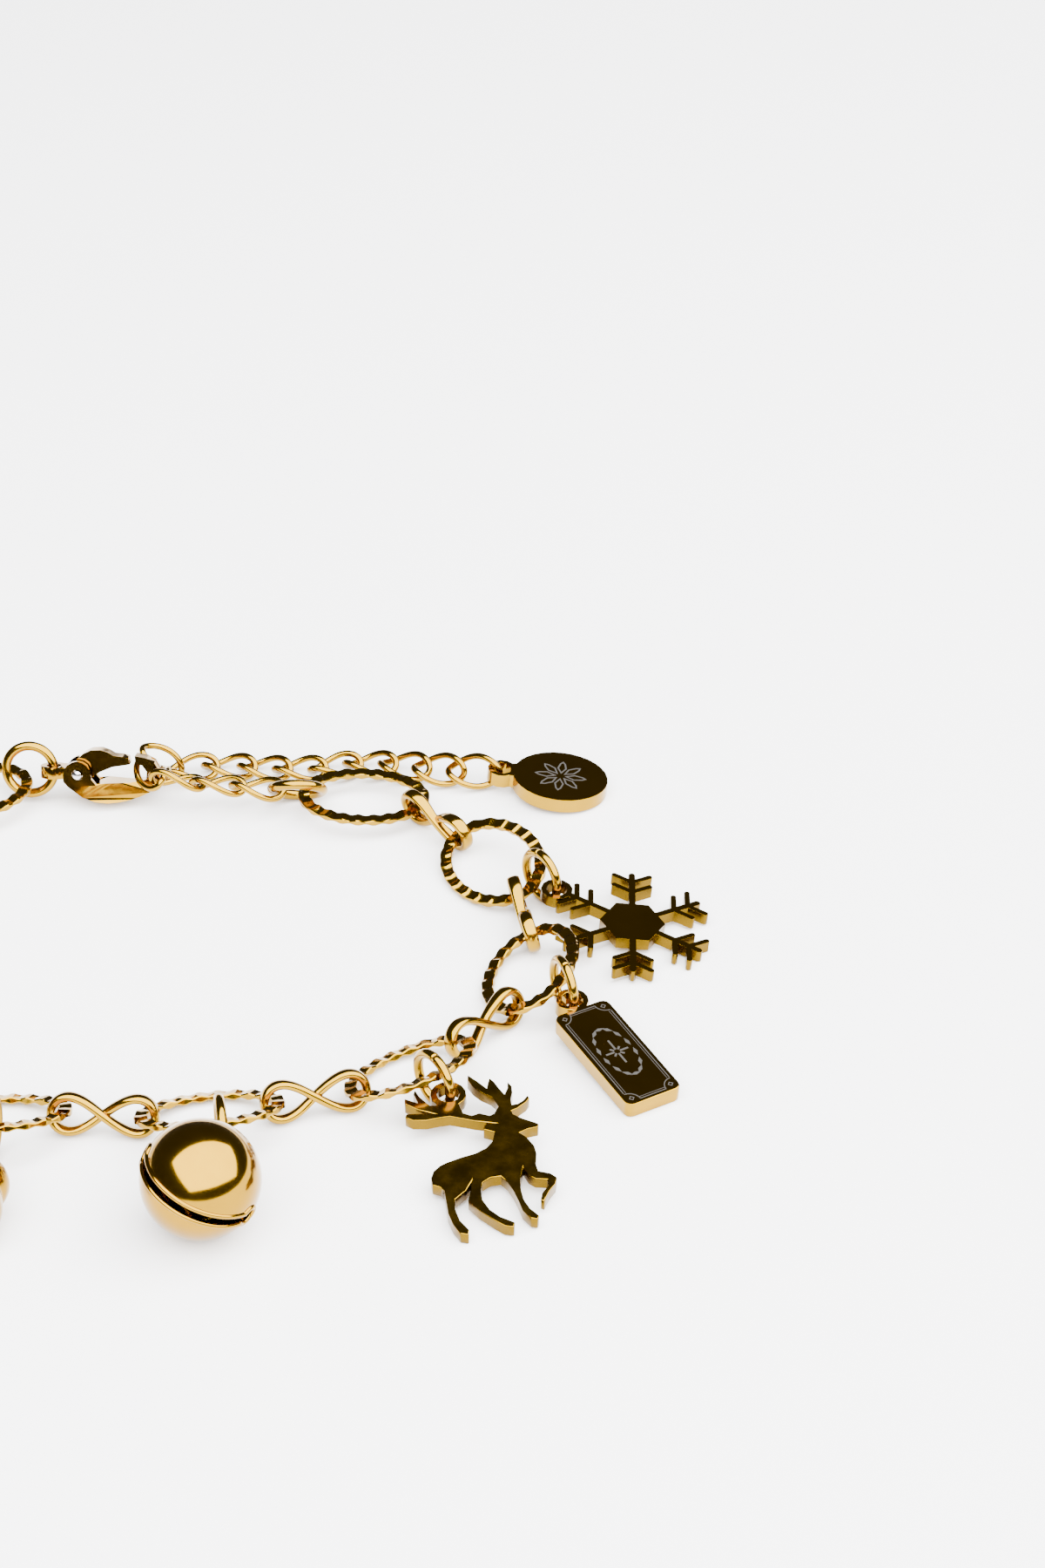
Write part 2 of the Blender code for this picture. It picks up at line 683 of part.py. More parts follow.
def build_curb():
    poses = curb_poses([Vector(p) for p in RETURN_JOINTS], RETURN_ROLLS)
    poses.append(heading_pose(HOOKED_CENTRE, HOOKED_HEADING, HOOKED_ROLL, HOOKED_PITCH))
    joints = [Vector(p) for p in FREE_JOINTS] + route_points(FREE_ROUTE, FREE_LINKS - len(FREE_JOINTS))
    # the last three turn step by step so that the last end stands upright in the tag
    rolls = list(FREE_ROLLS) + [0.0] * (FREE_LINKS - len(FREE_ROLLS))
    for i in range(3):
        rolls[i - 3] = CURB_TWIST * (i + 1) / 3.0
    poses += curb_poses(joints, rolls)
    for i, pose in enumerate(poses):
        add_object("curb_link_%02d" % (i + 1), curb_link(), GOLD, pose)


def rail_heading(oval, share, ear):
    """Heading from a point of an oval's rail to an ear; share is the angle on the oval."""
    a = (OVAL_LENGTH - OVAL_BAND) / 2.0
    b = (OVAL_WIDTH - OVAL_BAND) / 2.0
    angle = math.radians(share)
    rail = oval @ Vector((a * math.cos(angle), b * math.sin(angle), 0.0))
    return math.degrees(math.atan2(ear[1] - rail.y, ear[0] - rail.x))


def charm_ring(name, ear, heading, diameter=CHARM_RING_DIAMETER):
    """A ring standing on the table, whose wire crosses a charm's ear at the given point."""
    middle = (diameter - CHARM_RING_WIRE) / 2.0
    drop = ear[2] - middle - CHARM_RING_WIRE / 2.0 - 0.03
    up = Vector((0.0, 0.0, 1.0))
    centre = Vector(ear) - direction(heading) * math.sqrt(middle ** 2 - drop ** 2) - up * drop
    pose = frame(centre, direction(heading), up)
    add_object(name, wire_ring(diameter, CHARM_RING_WIRE), GOLD, pose, smooth=True)


def lying_pose(ear, heading, reach, thickness, spin=0.0):
    """A flat charm whose ear is held up by its ring and whose far end rests on the table.

    The pose's origin is the ear's hole at the lower face; +X runs away from the ring.
    """
    rise = EAR_RISE - thickness / 2.0
    slope = math.asin(rise / reach)
    out = direction(heading)
    along = out * math.cos(slope) - Vector((0.0, 0.0, 1.0)) * math.sin(slope)
    across = Vector((-out.y, out.x, 0.0))
    pose = frame((ear[0], ear[1], rise), along, across)
    return pose @ Matrix.Rotation(math.radians(spin), 4, "Z")


def build_charms(ovals):
    rings = (("snowflake_ring", SNOW_EAR, SNOW_RING_HEADING, SNOW_CROSSING),
             ("ticket_ring", TICKET_EAR, TICKET_RING_HEADING, TICKET_CROSSING),
             ("reindeer_ring", DEER_EAR_SPOT, DEER_RING_HEADING, DEER_CROSSING))
    for name, ear, heading, crossing in rings:
        charm_ring(name, (ear[0] + crossing[0], ear[1] + crossing[1], EAR_RISE), heading)

    pose = lying_pose(SNOW_EAR, SNOW_HEADING, SNOW_EAR_REACH + SNOW_RADIUS, CHARM_THICKNESS)
    add_object("snowflake", snowflake_mesh(), DEEP_GOLD, pose @ Matrix.Translation((SNOW_EAR_REACH, 0.0, 0.0)))

    pose = lying_pose(TICKET_EAR, TICKET_HEADING, TICKET_LENGTH + 1.03, TICKET_THICKNESS)
    add_object("ticket_plate", ticket_mesh(), DEEP_GOLD, pose)

    pose = lying_pose(DEER_EAR_SPOT, -90.0, DEER_EAR[1] * DEER_HEIGHT, CHARM_THICKNESS, spin=90.0)
    shift = Matrix.Translation((-DEER_EAR[0] * DEER_WIDTH, -DEER_EAR[1] * DEER_HEIGHT, 0.0))
    add_object("reindeer", deer_mesh(), DEEP_GOLD, pose @ shift)

    joint = Vector(FREE_ROUTE[-1])
    slope = math.radians(TAG_TILT)
    pose = frame((joint.x + 0.73, joint.y - 0.1, joint.z - TAG_THICKNESS / 2.0 - 0.12),
                 (math.cos(slope), -0.12, -math.sin(slope)), (0.12, 1.0, 0.0))
    add_object("end_tag", tag_mesh(), DEEP_GOLD, pose)
    build_bell(ovals)
    build_bauble(ovals)


def solder_loop(item, pose, reach):
    """Fuse a wire loop to a piece's top, its hole's middle at the given height on local Z."""
    loop = helper(item.name + "_loop_tool", wire_ring(LOOP_DIAMETER, LOOP_WIRE, 12, 6),
                  pose @ Matrix.Translation((0.0, 0.0, reach)) @ Matrix.Rotation(math.pi / 2.0, 4, "X"))
    cut(item, loop, "UNION")


def build_bell(ovals):
    radius = BELL_DIAMETER / 2.0
    inner = radius - BELL_WALL
    steps = 8
    turns = [math.pi * i / steps for i in range(1, steps)]
    outside = [(0.0, radius)] + [(radius * math.sin(t), radius * math.cos(t)) for t in turns] + [(0.0, -radius)]
    inside = [(0.0, inner)] + [(inner * math.sin(t), inner * math.cos(t)) for t in turns] + [(0.0, -inner)]
    dip = math.radians(BELL_DIP)
    axis = direction(BELL_HEADING) * math.cos(dip) - Vector((0.0, 0.0, 1.0)) * math.sin(dip)
    middle = Vector((*BELL_CENTRE, radius))
    # local Z is the bell's axis toward its loop; local X runs along the slot
    side = axis.cross(Vector((0.0, 0.0, 1.0)))
    level = frame(middle, side, axis.cross(side))
    pose = level @ Matrix.Rotation(math.radians(BELL_SLOT_TURN), 4, "Z")
    reach = radius + LOOP_DIAMETER / 2.0 - LOOP_WIRE
    ear = middle + axis * reach
    charm_ring("bell_ring", ear, rail_heading(ovals[4], BELL_RAIL, ear), BELL_RING_DIAMETER)
    shell = add_object("bell_shell", lathe(outside, 16), GOLD, pose, smooth=True)
    solder_loop(shell, level, reach)
    cut(shell, helper("bell_hollow_tool", lathe(inside, 16), pose))
    cut(shell, helper("bell_slot_tool", box(-5.0, 5.0, -BELL_SLOT / 2.0, BELL_SLOT / 2.0, -5.0, -0.8), pose))
    hole = helper("bell_hole_tool", lathe([(0.0, 5.0), (BELL_SLOT_HOLE / 2.0, 5.0), (BELL_SLOT_HOLE / 2.0, -5.0),
                                          (0.0, -5.0)], 10),
                  pose @ Matrix.Translation((0.0, 0.0, -0.8)) @ Matrix.Rotation(math.pi / 2.0, 4, "Y"))
    cut(shell, hole)
    ball = PELLET_DIAMETER / 2.0
    side = ball * math.sqrt(0.5)
    add_object("bell_pellet", lathe([(0.0, ball), (side, side), (ball, 0.0), (side, -side), (0.0, -ball)], 10),
               STEEL, Matrix.Translation(middle - Vector((0.0, 0.0, inner - ball - 0.2))), smooth=True)


def build_bauble(ovals):
    collar = BAUBLE_COLLAR_DIAMETER / 2.0
    body = BAUBLE_DIAMETER / 2.0
    neck = body - 0.35
    profile = [(0.0, BAUBLE_COLLAR + 0.2), (1.1, BAUBLE_COLLAR + 0.1), (collar - 0.6, BAUBLE_COLLAR),
               (collar - 0.15, BAUBLE_COLLAR * 0.8), (collar, BAUBLE_COLLAR * 0.5), (collar - 0.15, BAUBLE_COLLAR * 0.2),
               (neck, 0.0), (body - 0.1, -BAUBLE_BODY * 0.2), (body, -BAUBLE_BODY * 0.5),
               (body - 0.15, -BAUBLE_BODY * 0.72), (body - 0.7, -BAUBLE_BODY * 0.93), (body - 1.4, -BAUBLE_BODY),
               (0.0, -BAUBLE_BODY - 0.1)]
    axis = direction(BAUBLE_HEADING)
    side = axis.cross(Vector((0.0, 0.0, 1.0)))
    reach = BAUBLE_COLLAR + LOOP_DIAMETER / 2.0 - 0.1
    pose = frame((*BAUBLE_CENTRE, collar + 0.02), side, axis.cross(side))
    ear = pose @ Vector((0.0, 0.0, reach))
    charm_ring("bauble_ring", ear, rail_heading(ovals[5], BAUBLE_RAIL, ear), BAUBLE_RING_DIAMETER)
    item = add_object("bauble", lathe(profile, 16), PALE_GOLD, pose, smooth=True)
    solder_loop(item, pose, reach)


def build_clasp():
    pose = clasp_pose()
    w = CLASP_THICKNESS / 2.0

    def prism(outline, half):
        data = plate(outline, [], 2.0)
        for vert in data.verts:
            side = 1.0 if vert.co.z > 1.0 else -1.0
            vert.co.z = side * half(vert.co.x)
        return data

    def taper(u):
        share = min(max((u - 5.0) / 2.6, 0.0), 1.0)
        return w + (CLASP_NOSE_THICKNESS / 2.0 - w) * share

    outline = [(2.35, 1.35), (3.5, 0.5), (4.5, 0.15), (5.5, 0.05), (6.4, 0.12), (7.3, 0.3), (8.1, 0.6), (8.8, 0.95),
               (9.3, 1.45), (9.55, 2.1), (9.5, 2.8), (9.15, 3.35), (8.5, 3.7), (7.6, 3.85),
               (7.65, 3.3), (8.2, 3.1), (8.55, 2.6), (8.5, 1.9), (8.0, 1.4), (7.2, 1.15), (6.3, 1.05), (5.3, 1.15),
               (4.6, 1.5), (4.2, 2.0)]
    outline += arc(HINGE_U, HINGE_V, 1.1, 0.0, 180.0, 8)
    outline += [(2.0, 1.75)]
    body = add_object("clasp_body", prism(outline, taper), GOLD, pose)
    bail = plate(arc(BAIL_U, 0.0, BAIL_DIAMETER / 2.0, 50.0, 310.0, 14) + [(2.2, -0.8), (2.2, 0.8)],
                 [circle(BAIL_U, 0.0, BAIL_HOLE / 2.0, 10)], BAIL_THICKNESS)
    bail_pose = pose @ Matrix.Translation((0.0, HINGE_V + BAIL_THICKNESS / 2.0, 0.0)) @ Matrix.Rotation(math.pi / 2.0, 4, "X")
    cut(body, helper("clasp_bail_tool", bail, bail_pose), "UNION")
    fork = box(2.32, 6.4, 1.5, 6.0, -FORK_WIDTH / 2.0, FORK_WIDTH / 2.0)
    cut(body, helper("clasp_fork_tool", fork, pose))
    drill = lathe([(0.0, 3.0), (HINGE_HOLE / 2.0, 3.0), (HINGE_HOLE / 2.0, -3.0), (0.0, -3.0)], 12)
    cut(body, helper("clasp_drill_tool", drill, pose @ Matrix.Translation((HINGE_U, HINGE_V, 0.0))))
    rivet = lathe([(0.0, w + 0.1), (RIVET_DIAMETER / 2.0, w + 0.05), (RIVET_DIAMETER / 2.0, -w - 0.05),
                   (0.0, -w - 0.1)], 12)
    hinge = pose @ Matrix.Translation((HINGE_U, HINGE_V, 0.0))
    add_object("clasp_rivet", rivet, STEEL, hinge, smooth=False)

    lever = arc(0.0, 0.0, 0.68, 150.0, 270.0, 6)
    lever += [(0.9, -0.45), (1.7, 0.15), (2.7, 0.6), (3.5, 0.73), (4.09, 0.85), (3.96, 1.35), (3.5, 1.45), (2.8, 1.5),
              (2.4, 1.75), (1.8, 1.95), (1.0, 1.9), (0.4, 1.6), (-0.1, 1.15)]
    data = plate(lever, [circle(0.0, 0.0, HINGE_HOLE / 2.0, 10)], LEVER_THICKNESS)
    for vert in data.verts:
        vert.co.z -= LEVER_THICKNESS / 2.0
    add_object("clasp_lever", data, GOLD, hinge)

    ring_pose = pose @ Matrix.Translation((BAIL_U - (CLASP_RING_DIAMETER - CLASP_RING_WIRE) / 2.0 + 0.02, 2.35, 0.0))
    add_object("clasp_ring", wire_ring(CLASP_RING_DIAMETER, CLASP_RING_WIRE), GOLD, ring_pose, smooth=True)


clear_scene()
OVALS = build_chain()
build_curb()
build_charms(OVALS)
add_object("extender_ring", wire_ring(EXTENDER_RING_DIAMETER, EXTENDER_RING_WIRE), GOLD,
           frame(EXTENDER_RING_CENTRE, (1.0, 0.0, 0.0),
                 (0.0, -math.cos(math.radians(EXTENDER_RING_TILT)), math.sin(math.radians(EXTENDER_RING_TILT)))),
           smooth=True)
build_clasp()
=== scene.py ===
"""Charm bracelet: the visible pieces, their finishes, the stage and the camera."""
import math

import bmesh
import bpy
import numpy as np
from mathutils import Matrix, Vector


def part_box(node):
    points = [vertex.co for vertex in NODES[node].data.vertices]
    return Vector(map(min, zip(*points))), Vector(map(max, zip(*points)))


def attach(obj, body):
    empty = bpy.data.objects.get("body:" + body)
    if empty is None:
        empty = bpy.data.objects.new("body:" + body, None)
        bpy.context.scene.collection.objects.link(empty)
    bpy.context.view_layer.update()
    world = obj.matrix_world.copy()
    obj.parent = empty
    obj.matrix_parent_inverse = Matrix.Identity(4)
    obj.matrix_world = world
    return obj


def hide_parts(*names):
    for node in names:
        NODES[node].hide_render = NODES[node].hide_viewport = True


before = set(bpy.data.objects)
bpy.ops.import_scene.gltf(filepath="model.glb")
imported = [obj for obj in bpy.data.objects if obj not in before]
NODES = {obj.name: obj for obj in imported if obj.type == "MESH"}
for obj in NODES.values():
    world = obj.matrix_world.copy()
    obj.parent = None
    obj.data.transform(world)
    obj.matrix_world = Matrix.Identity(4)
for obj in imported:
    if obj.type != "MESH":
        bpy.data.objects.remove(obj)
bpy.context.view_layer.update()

bl_info = {
    "name": "Charm bracelet",
    "version": (1, 0, 0),
    "blender": (4, 5, 0),
    "location": "3D View > Sidebar > Bracelet",
    "description": "Builds a gold-coloured charm bracelet around its packed frame",
    "category": "Add Mesh",
}

MM = 0.001
UP = Vector((0.0, 0.0, 1.0))
LEVER_NODES = ("clasp_lever",)
# from the zero of the layout, in millimetres, to the part's own
SHIFT = Vector((27.2, 27.06, 0.0))

# noise scales, in cycles a metre
CLOUDS = 420.0
HAIRLINES = 5200.0
RIPPLES = 900.0
FROST_GRAIN = 9000.0
MOTTLES = 650.0
BRUSH_GRAIN = 6000.0
PAPER_GRAIN = 60.0

# welding distance of a copied mesh in metres, and the angle in degrees below which its faces are one
WELD = 2e-6
FLAT_ANGLE = 1.5

# an open wire's rounded end: its reach and its narrowest size as shares of the radius, and its middle step
END_REACH = 0.25
END_SIZE = 0.7
END_STEP = 0.6


class Socket:
    """A shader value that takes part in ordinary arithmetic."""

    def __init__(self, nodes, output):
        self.nodes = nodes
        self.output = output

    def _math(self, operation, *values):
        return self.nodes.add("ShaderNodeMath", {"operation": operation}, dict(enumerate(values)))

    def __add__(self, other):
        return self._math("ADD", self, other)

    def __sub__(self, other):
        return self._math("SUBTRACT", self, other)

    def __mul__(self, other):
        return self._math("MULTIPLY", self, other)

    def __truediv__(self, other):
        return self._math("DIVIDE", self, other)

    def __pow__(self, other):
        return self._math("POWER", self, other)

    def __rsub__(self, other):
        return self._math("SUBTRACT", other, self)

    def __rtruediv__(self, other):
        return self._math("DIVIDE", other, self)

    __radd__ = __add__
    __rmul__ = __mul__

    def above(self, edge, soft):
        """0 below the edge and 1 above it, with a soft step."""
        return self.nodes.add("ShaderNodeMapRange", {"interpolation_type": "SMOOTHSTEP", "clamp": True},
                              {0: self, 1: edge - soft, 2: edge + soft, 3: 0.0, 4: 1.0})


class Finish:
    """One material's nodes."""

    def __init__(self, name):
        self.material = bpy.data.materials.new(name)
        self.material.use_nodes = True
        self.tree = self.material.node_tree
        self.shader = self.tree.nodes["Principled BSDF"]
        self.place = self.add("ShaderNodeTexCoord", {}, {}, "Object")

    def add(self, kind, settings, values, output=0):
        """A node with its settings and its input values or links."""
        node = self.tree.nodes.new(kind)
        for key, value in settings.items():
            setattr(node, key, value)
        for key, value in values.items():
            self.put(node.inputs[key], value)
        return Socket(self, node.outputs[output])

    def put(self, target, value):
        if isinstance(value, Socket):
            self.tree.links.new(value.output, target)
        else:
            target.default_value = value

    def noise(self, scale, detail=2.0, roughness=0.5):
        return self.add("ShaderNodeTexNoise", {}, {"Vector": self.place, "Scale": scale, "Detail": detail,
                                                   "Roughness": roughness}, "Fac")

    def blend(self, share, first, second):
        return self.add("ShaderNodeMix", {"data_type": "RGBA"}, {0: share, 6: first, 7: second}, 2)

    def bump(self, height, strength, distance):
        return self.add("ShaderNodeBump", {}, {"Height": height, "Strength": strength, "Distance": distance})

    def surface(self, **values):
        for key, value in values.items():
            self.put(self.shader.inputs[key.replace("_", " ")], value)
        return self.material


def shade(colour, factor):
    return (*[channel * factor for channel in colour[:3]], 1.0)


def polished(name, colour, low, high, wear=0.35):
    """Polished plating: faint cloudy tone, hairline wear and a soft orange-peel ripple."""
    finish = Finish(name)
    cloud = finish.noise(CLOUDS, 3.0)
    hair = finish.noise(HAIRLINES, 4.0, 0.65)
    tone = finish.blend(cloud.above(0.5, 0.35), shade(colour, 0.9), shade(colour, 1.06))
    rough = low + (high - low) * (cloud * 0.6 + hair.above(0.62, 0.1) * wear)
    return finish.surface(Base_Color=tone, Metallic=1.0, Roughness=rough,
                          Normal=finish.bump(finish.noise(RIPPLES, 1.0), 0.06, 0.0001))


def frosted(name, colour):
    """Matt grey engraving with a fine grain."""
    finish = Finish(name)
    grain = finish.noise(FROST_GRAIN, 3.0, 0.7)
    tone = finish.blend(grain, shade(colour, 0.7), shade(colour, 1.15))
    return finish.surface(Base_Color=tone, Metallic=0.6, Roughness=0.55 + grain * 0.2,
                          Normal=finish.bump(grain, 0.4, 0.00002))


def mottled(name, colour, dark):
    """Flat polished face with the cloudy, slightly dull look of brushed plating."""
    finish = Finish(name)
    patch = finish.noise(MOTTLES, 5.0, 0.62)
    grain = finish.noise(BRUSH_GRAIN, 2.0)
    tone = finish.blend(patch.above(0.5, 0.18), dark, shade(colour, 1.0))
    return finish.surface(Base_Color=tone, Metallic=1.0, Roughness=0.11 + patch.above(0.5, 0.3) * 0.07,
                          Normal=finish.bump(grain, 0.08, 0.00002))


# Shapes
class Shape:
    """A mesh in millimetres, built in its own directions and then placed."""

    def __init__(self):
        self.data = bmesh.new()

    def tube(self, rows, closed=True):
        """Skin between rows of points, with end faces where it is open."""
        rows = [[self.data.verts.new(p) for p in row] for row in rows]
        sides = len(rows[0])
        for i in range(len(rows) if closed else len(rows) - 1):
            here = rows[i]
            there = rows[(i + 1) % len(rows)]
            for j in range(sides):
                k = (j + 1) % sides
                self.data.faces.new((here[j], there[j], there[k], here[k]))
        if not closed:
            self.data.faces.new(rows[0])
            self.data.faces.new(rows[-1][::-1])
        return self

    def wire(self, path, radius, sides, closed=True):
        """Round wire along a path of points, with rounded ends where it is open."""
        count = len(path)
        rows = []
        side = None
        for i, p in enumerate(path):
            if closed:
                along = path[(i + 1) % count] - path[i - 1]
            else:
                along = path[min(i + 1, count - 1)] - path[max(i - 1, 0)]
            along = along.normalized()
            if side is None:
                side = along.orthogonal().normalized()
            side = (side - along * side.dot(along)).normalized()
            rows.append((p, side.copy(), along.cross(side), along))
        if closed:
            # spread the leftover twist evenly
            first = rows[0][1]
            last = rows[-1][1]
            along = rows[0][3]
            carried = (last - along * last.dot(along)).normalized()
            twist = math.atan2(along.dot(carried.cross(first)), carried.dot(first)) / count
            rows = [(p, s * math.cos(twist * i) + o * math.sin(twist * i),
                     o * math.cos(twist * i) - s * math.sin(twist * i), a)
                    for i, (p, s, o, a) in enumerate(rows)]

        def ring(p, s, o, size):
            turns = [math.tau * j / sides for j in range(sides)]
            return [p + (s * math.cos(t) + o * math.sin(t)) * size for t in turns]

        def end(row, sign, shares):
            p, s, o, a = row
            return [ring(p + a * (sign * radius * END_REACH * (1.0 - q)), s, o,
                         radius * (END_SIZE + (1.0 - END_SIZE) * q)) for q in shares]

        made = [ring(p, s, o, radius) for p, s, o, a in rows]
        if not closed:
            made = end(rows[0], -1.0, (0.0, END_STEP)) + made + end(rows[-1], 1.0, (END_STEP, 0.0))
        return self.tube(made, closed)

    def lathe(self, profile, sides):
        """Turn (radius, height) points round Z; radius 0 is a pole."""
        rows = []
        for radius, height in profile:
            if radius < 1e-6:
                rows.append([self.data.verts.new((0.0, 0.0, height))])
            else:
                rows.append([self.data.verts.new((radius * math.cos(math.tau * i / sides),
                                                  radius * math.sin(math.tau * i / sides), height))
                             for i in range(sides)])
        for here, there in zip(rows, rows[1:]):
            for i in range(sides):
                j = (i + 1) % sides
                if len(here) == 1:
                    self.data.faces.new((here[0], there[i], there[j]))
                elif len(there) == 1:
                    self.data.faces.new((here[i], here[j], there[0]))
                else:
                    self.data.faces.new((here[i], here[j], there[j], there[i]))
        return self

    def piece(self, name, pose, material, crease=None):
        """Finish the mesh as an object; crease is the sharpest smooth angle in degrees."""
        bmesh.ops.recalc_face_normals(self.data, faces=self.data.faces)
        bmesh.ops.scale(self.data, vec=(MM, MM, MM), verts=self.data.verts)
        mesh = bpy.data.meshes.new(name)
        self.data.to_mesh(mesh)
        self.data.free()
        mesh.materials.append(material)
        mesh.polygons.foreach_set("use_smooth", [True] * len(mesh.polygons))
        if crease is not None:
            mesh.set_sharp_from_angle(angle=math.radians(crease))
        item = bpy.data.objects.new(name, mesh)
        bpy.context.scene.collection.objects.link(item)
        item.matrix_world = pose
        return item


def dress(item, node):
    """The piece stands for a CAD node and rides on its body."""
    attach(item, "lever" if node in LEVER_NODES else "bracelet")
    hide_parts(node)
    return item


def points_of(node):
    """The node's own points, each once."""
    mesh = NODES[node].data
    found = np.zeros(len(mesh.vertices) * 3)
    mesh.vertices.foreach_get("co", found)
    return np.unique(np.round(found.reshape(-1, 3), 7), axis=0)


def pose_of(node, upright=True):
    """Middle and main directions of a node: X its longest, Z its shortest."""
    points = points_of(node)
    middle = points.mean(axis=0)
    _, directions = np.linalg.eigh(np.cov((points - middle).T))
    x = Vector(directions[:, 2])
    z = Vector(directions[:, 0])
    if upright and z.z < 0.0:
        z = -z
    y = z.cross(x).normalized()
    pose = Matrix((x, y, z)).transposed().to_4x4()
    pose.translation = Vector(middle)
    return pose


def copy_of(node):
    """The node's mesh with its flat faces whole again, in millimetres."""
    shape = Shape()
    shape.data.from_mesh(NODES[node].data)
    bmesh.ops.remove_doubles(shape.data, verts=shape.data.verts, dist=WELD)
    bmesh.ops.dissolve_limit(shape.data, angle_limit=math.radians(FLAT_ANGLE), verts=shape.data.verts,
                             edges=shape.data.edges, delimit=set())
    bmesh.ops.scale(shape.data, vec=(1.0 / MM, 1.0 / MM, 1.0 / MM), verts=shape.data.verts)
    return shape


def soften(shape, width, least, segments):
    """Round the edges that are sharper than an angle in degrees."""
    shape.data.normal_update()
    edges = [e for e in shape.data.edges if e.is_manifold and e.calc_face_angle(0.0) > math.radians(least)]
    bmesh.ops.bevel(shape.data, geom=edges, offset=width, offset_type="OFFSET", segments=segments,
                    profile=0.5, affect="EDGES", clamp_overlap=True)
    return shape


def settle(item):
    """Turn the modifiers into mesh."""
    graph = bpy.context.evaluated_depsgraph_get()
    mesh = bpy.data.meshes.new_from_object(item.evaluated_get(graph))
    item.modifiers.clear()
    item.data = mesh
    return item


def flatten(item):
    """Keep the flat faces flat beside their rounded edges."""
    item.modifiers.new("Flat", "WEIGHTED_NORMAL").keep_sharp = True
    return settle(item)


def cut(item, tools):
    """Cut closed tools out of a piece and drop them."""
    for tool in tools:
        modifier = item.modifiers.new("Cut", "BOOLEAN")
        modifier.operation = "DIFFERENCE"
        modifier.solver = "EXACT"
        modifier.object = tool
    settle(item)
    for tool in tools:
        bpy.data.objects.remove(tool, do_unlink=True)


# Materials of the object
class Metals:
    """The finishes, made once for each run."""
    made = {}

    @classmethod
    def get(cls, key):
        settings = bpy.context.scene.bracelet_colours
        if key not in cls.made:
            gold = tuple(settings.gold)
            warm = tuple(settings.warm_gold)
            steel = tuple(settings.steel)
            makers = {
                "link": lambda: polished("link_gold", gold, 0.07, 0.17),
                "chain": lambda: polished("chain_gold", gold, 0.09, 0.2),
                "charm": lambda: polished("charm_gold", warm, 0.05, 0.14),
                "bell": lambda: polished("bell_gold", warm, 0.1, 0.16),
                # painted shade: the snowflake's and the reindeer's side walls are gold darkened to 0.4 for
                # the shade they stand in, and rougher
                "side": lambda: polished("charm_edge_painted_shade", shade(gold, 0.4), 0.2, 0.34, 0.6),
                "deer": lambda: mottled("reindeer_gold", gold, shade(gold, 0.62)),
                "steel": lambda: polished("rivet_steel", steel, 0.1, 0.2),
                "frost": lambda: frosted("engraved_frost", (0.052, 0.048, 0.044)),
                # painted shade: the inside of the bell is gold darkened to half, for the shade in the hollow,
                # and rougher
                "inside": lambda: polished("hollow_gold_painted_shade", shade(warm, 0.5), 0.3, 0.5),
            }
            cls.made[key] = makers[key]()
        return cls.made[key]


class BraceletSizes(bpy.types.PropertyGroup):
    """Sizes of the visible detail."""
    ridges: bpy.props.IntProperty(name="Ridges", description="Flutes round one oval link", default=21, min=12)
    flute_depth: bpy.props.FloatProperty(name="Flute depth", description="Depth of the cross flutes",
                                         default=0.12 * MM, unit="LENGTH")
    oval_length: bpy.props.FloatProperty(name="Oval length", description="Length of an oval link",
                                         default=10.4 * MM, unit="LENGTH")
    oval_width: bpy.props.FloatProperty(name="Oval width", description="Width of an oval link",
                                        default=7.6 * MM, unit="LENGTH")
    oval_band: bpy.props.FloatProperty(name="Oval band", description="Width of an oval link's band",
                                       default=0.95 * MM, unit="LENGTH")
    oval_thickness: bpy.props.FloatProperty(name="Oval thickness", description="Thickness of an oval link",
                                            default=0.5 * MM, unit="LENGTH")
    eight_length: bpy.props.FloatProperty(name="Eight length", description="Length of a figure-eight link",
                                          default=7.8 * MM, unit="LENGTH")
    eight_height: bpy.props.FloatProperty(name="Eight width", description="Width of a figure-eight link",
                                          default=3.1 * MM, unit="LENGTH")
    eight_band: bpy.props.FloatProperty(name="Eight band", description="Width of a figure-eight link's band",
                                        default=1.0 * MM, unit="LENGTH")
    eight_thickness: bpy.props.FloatProperty(name="Eight thickness", description="Thickness of that band",
                                             default=0.62 * MM, unit="LENGTH")
    curb_length: bpy.props.FloatProperty(name="Curb length", description="Length of a curb link",
                                         default=4.7 * MM, unit="LENGTH")
    curb_width: bpy.props.FloatProperty(name="Curb width", description="Width of a curb link",
                                        default=3.0 * MM, unit="LENGTH")
    curb_wire: bpy.props.FloatProperty(name="Curb wire", description="Wire of a curb link",
                                       default=0.52 * MM, unit="LENGTH")
    rim: bpy.props.FloatProperty(name="Rim", description="Rounding of the charms' edges",
                                 default=0.09 * MM, unit="LENGTH")


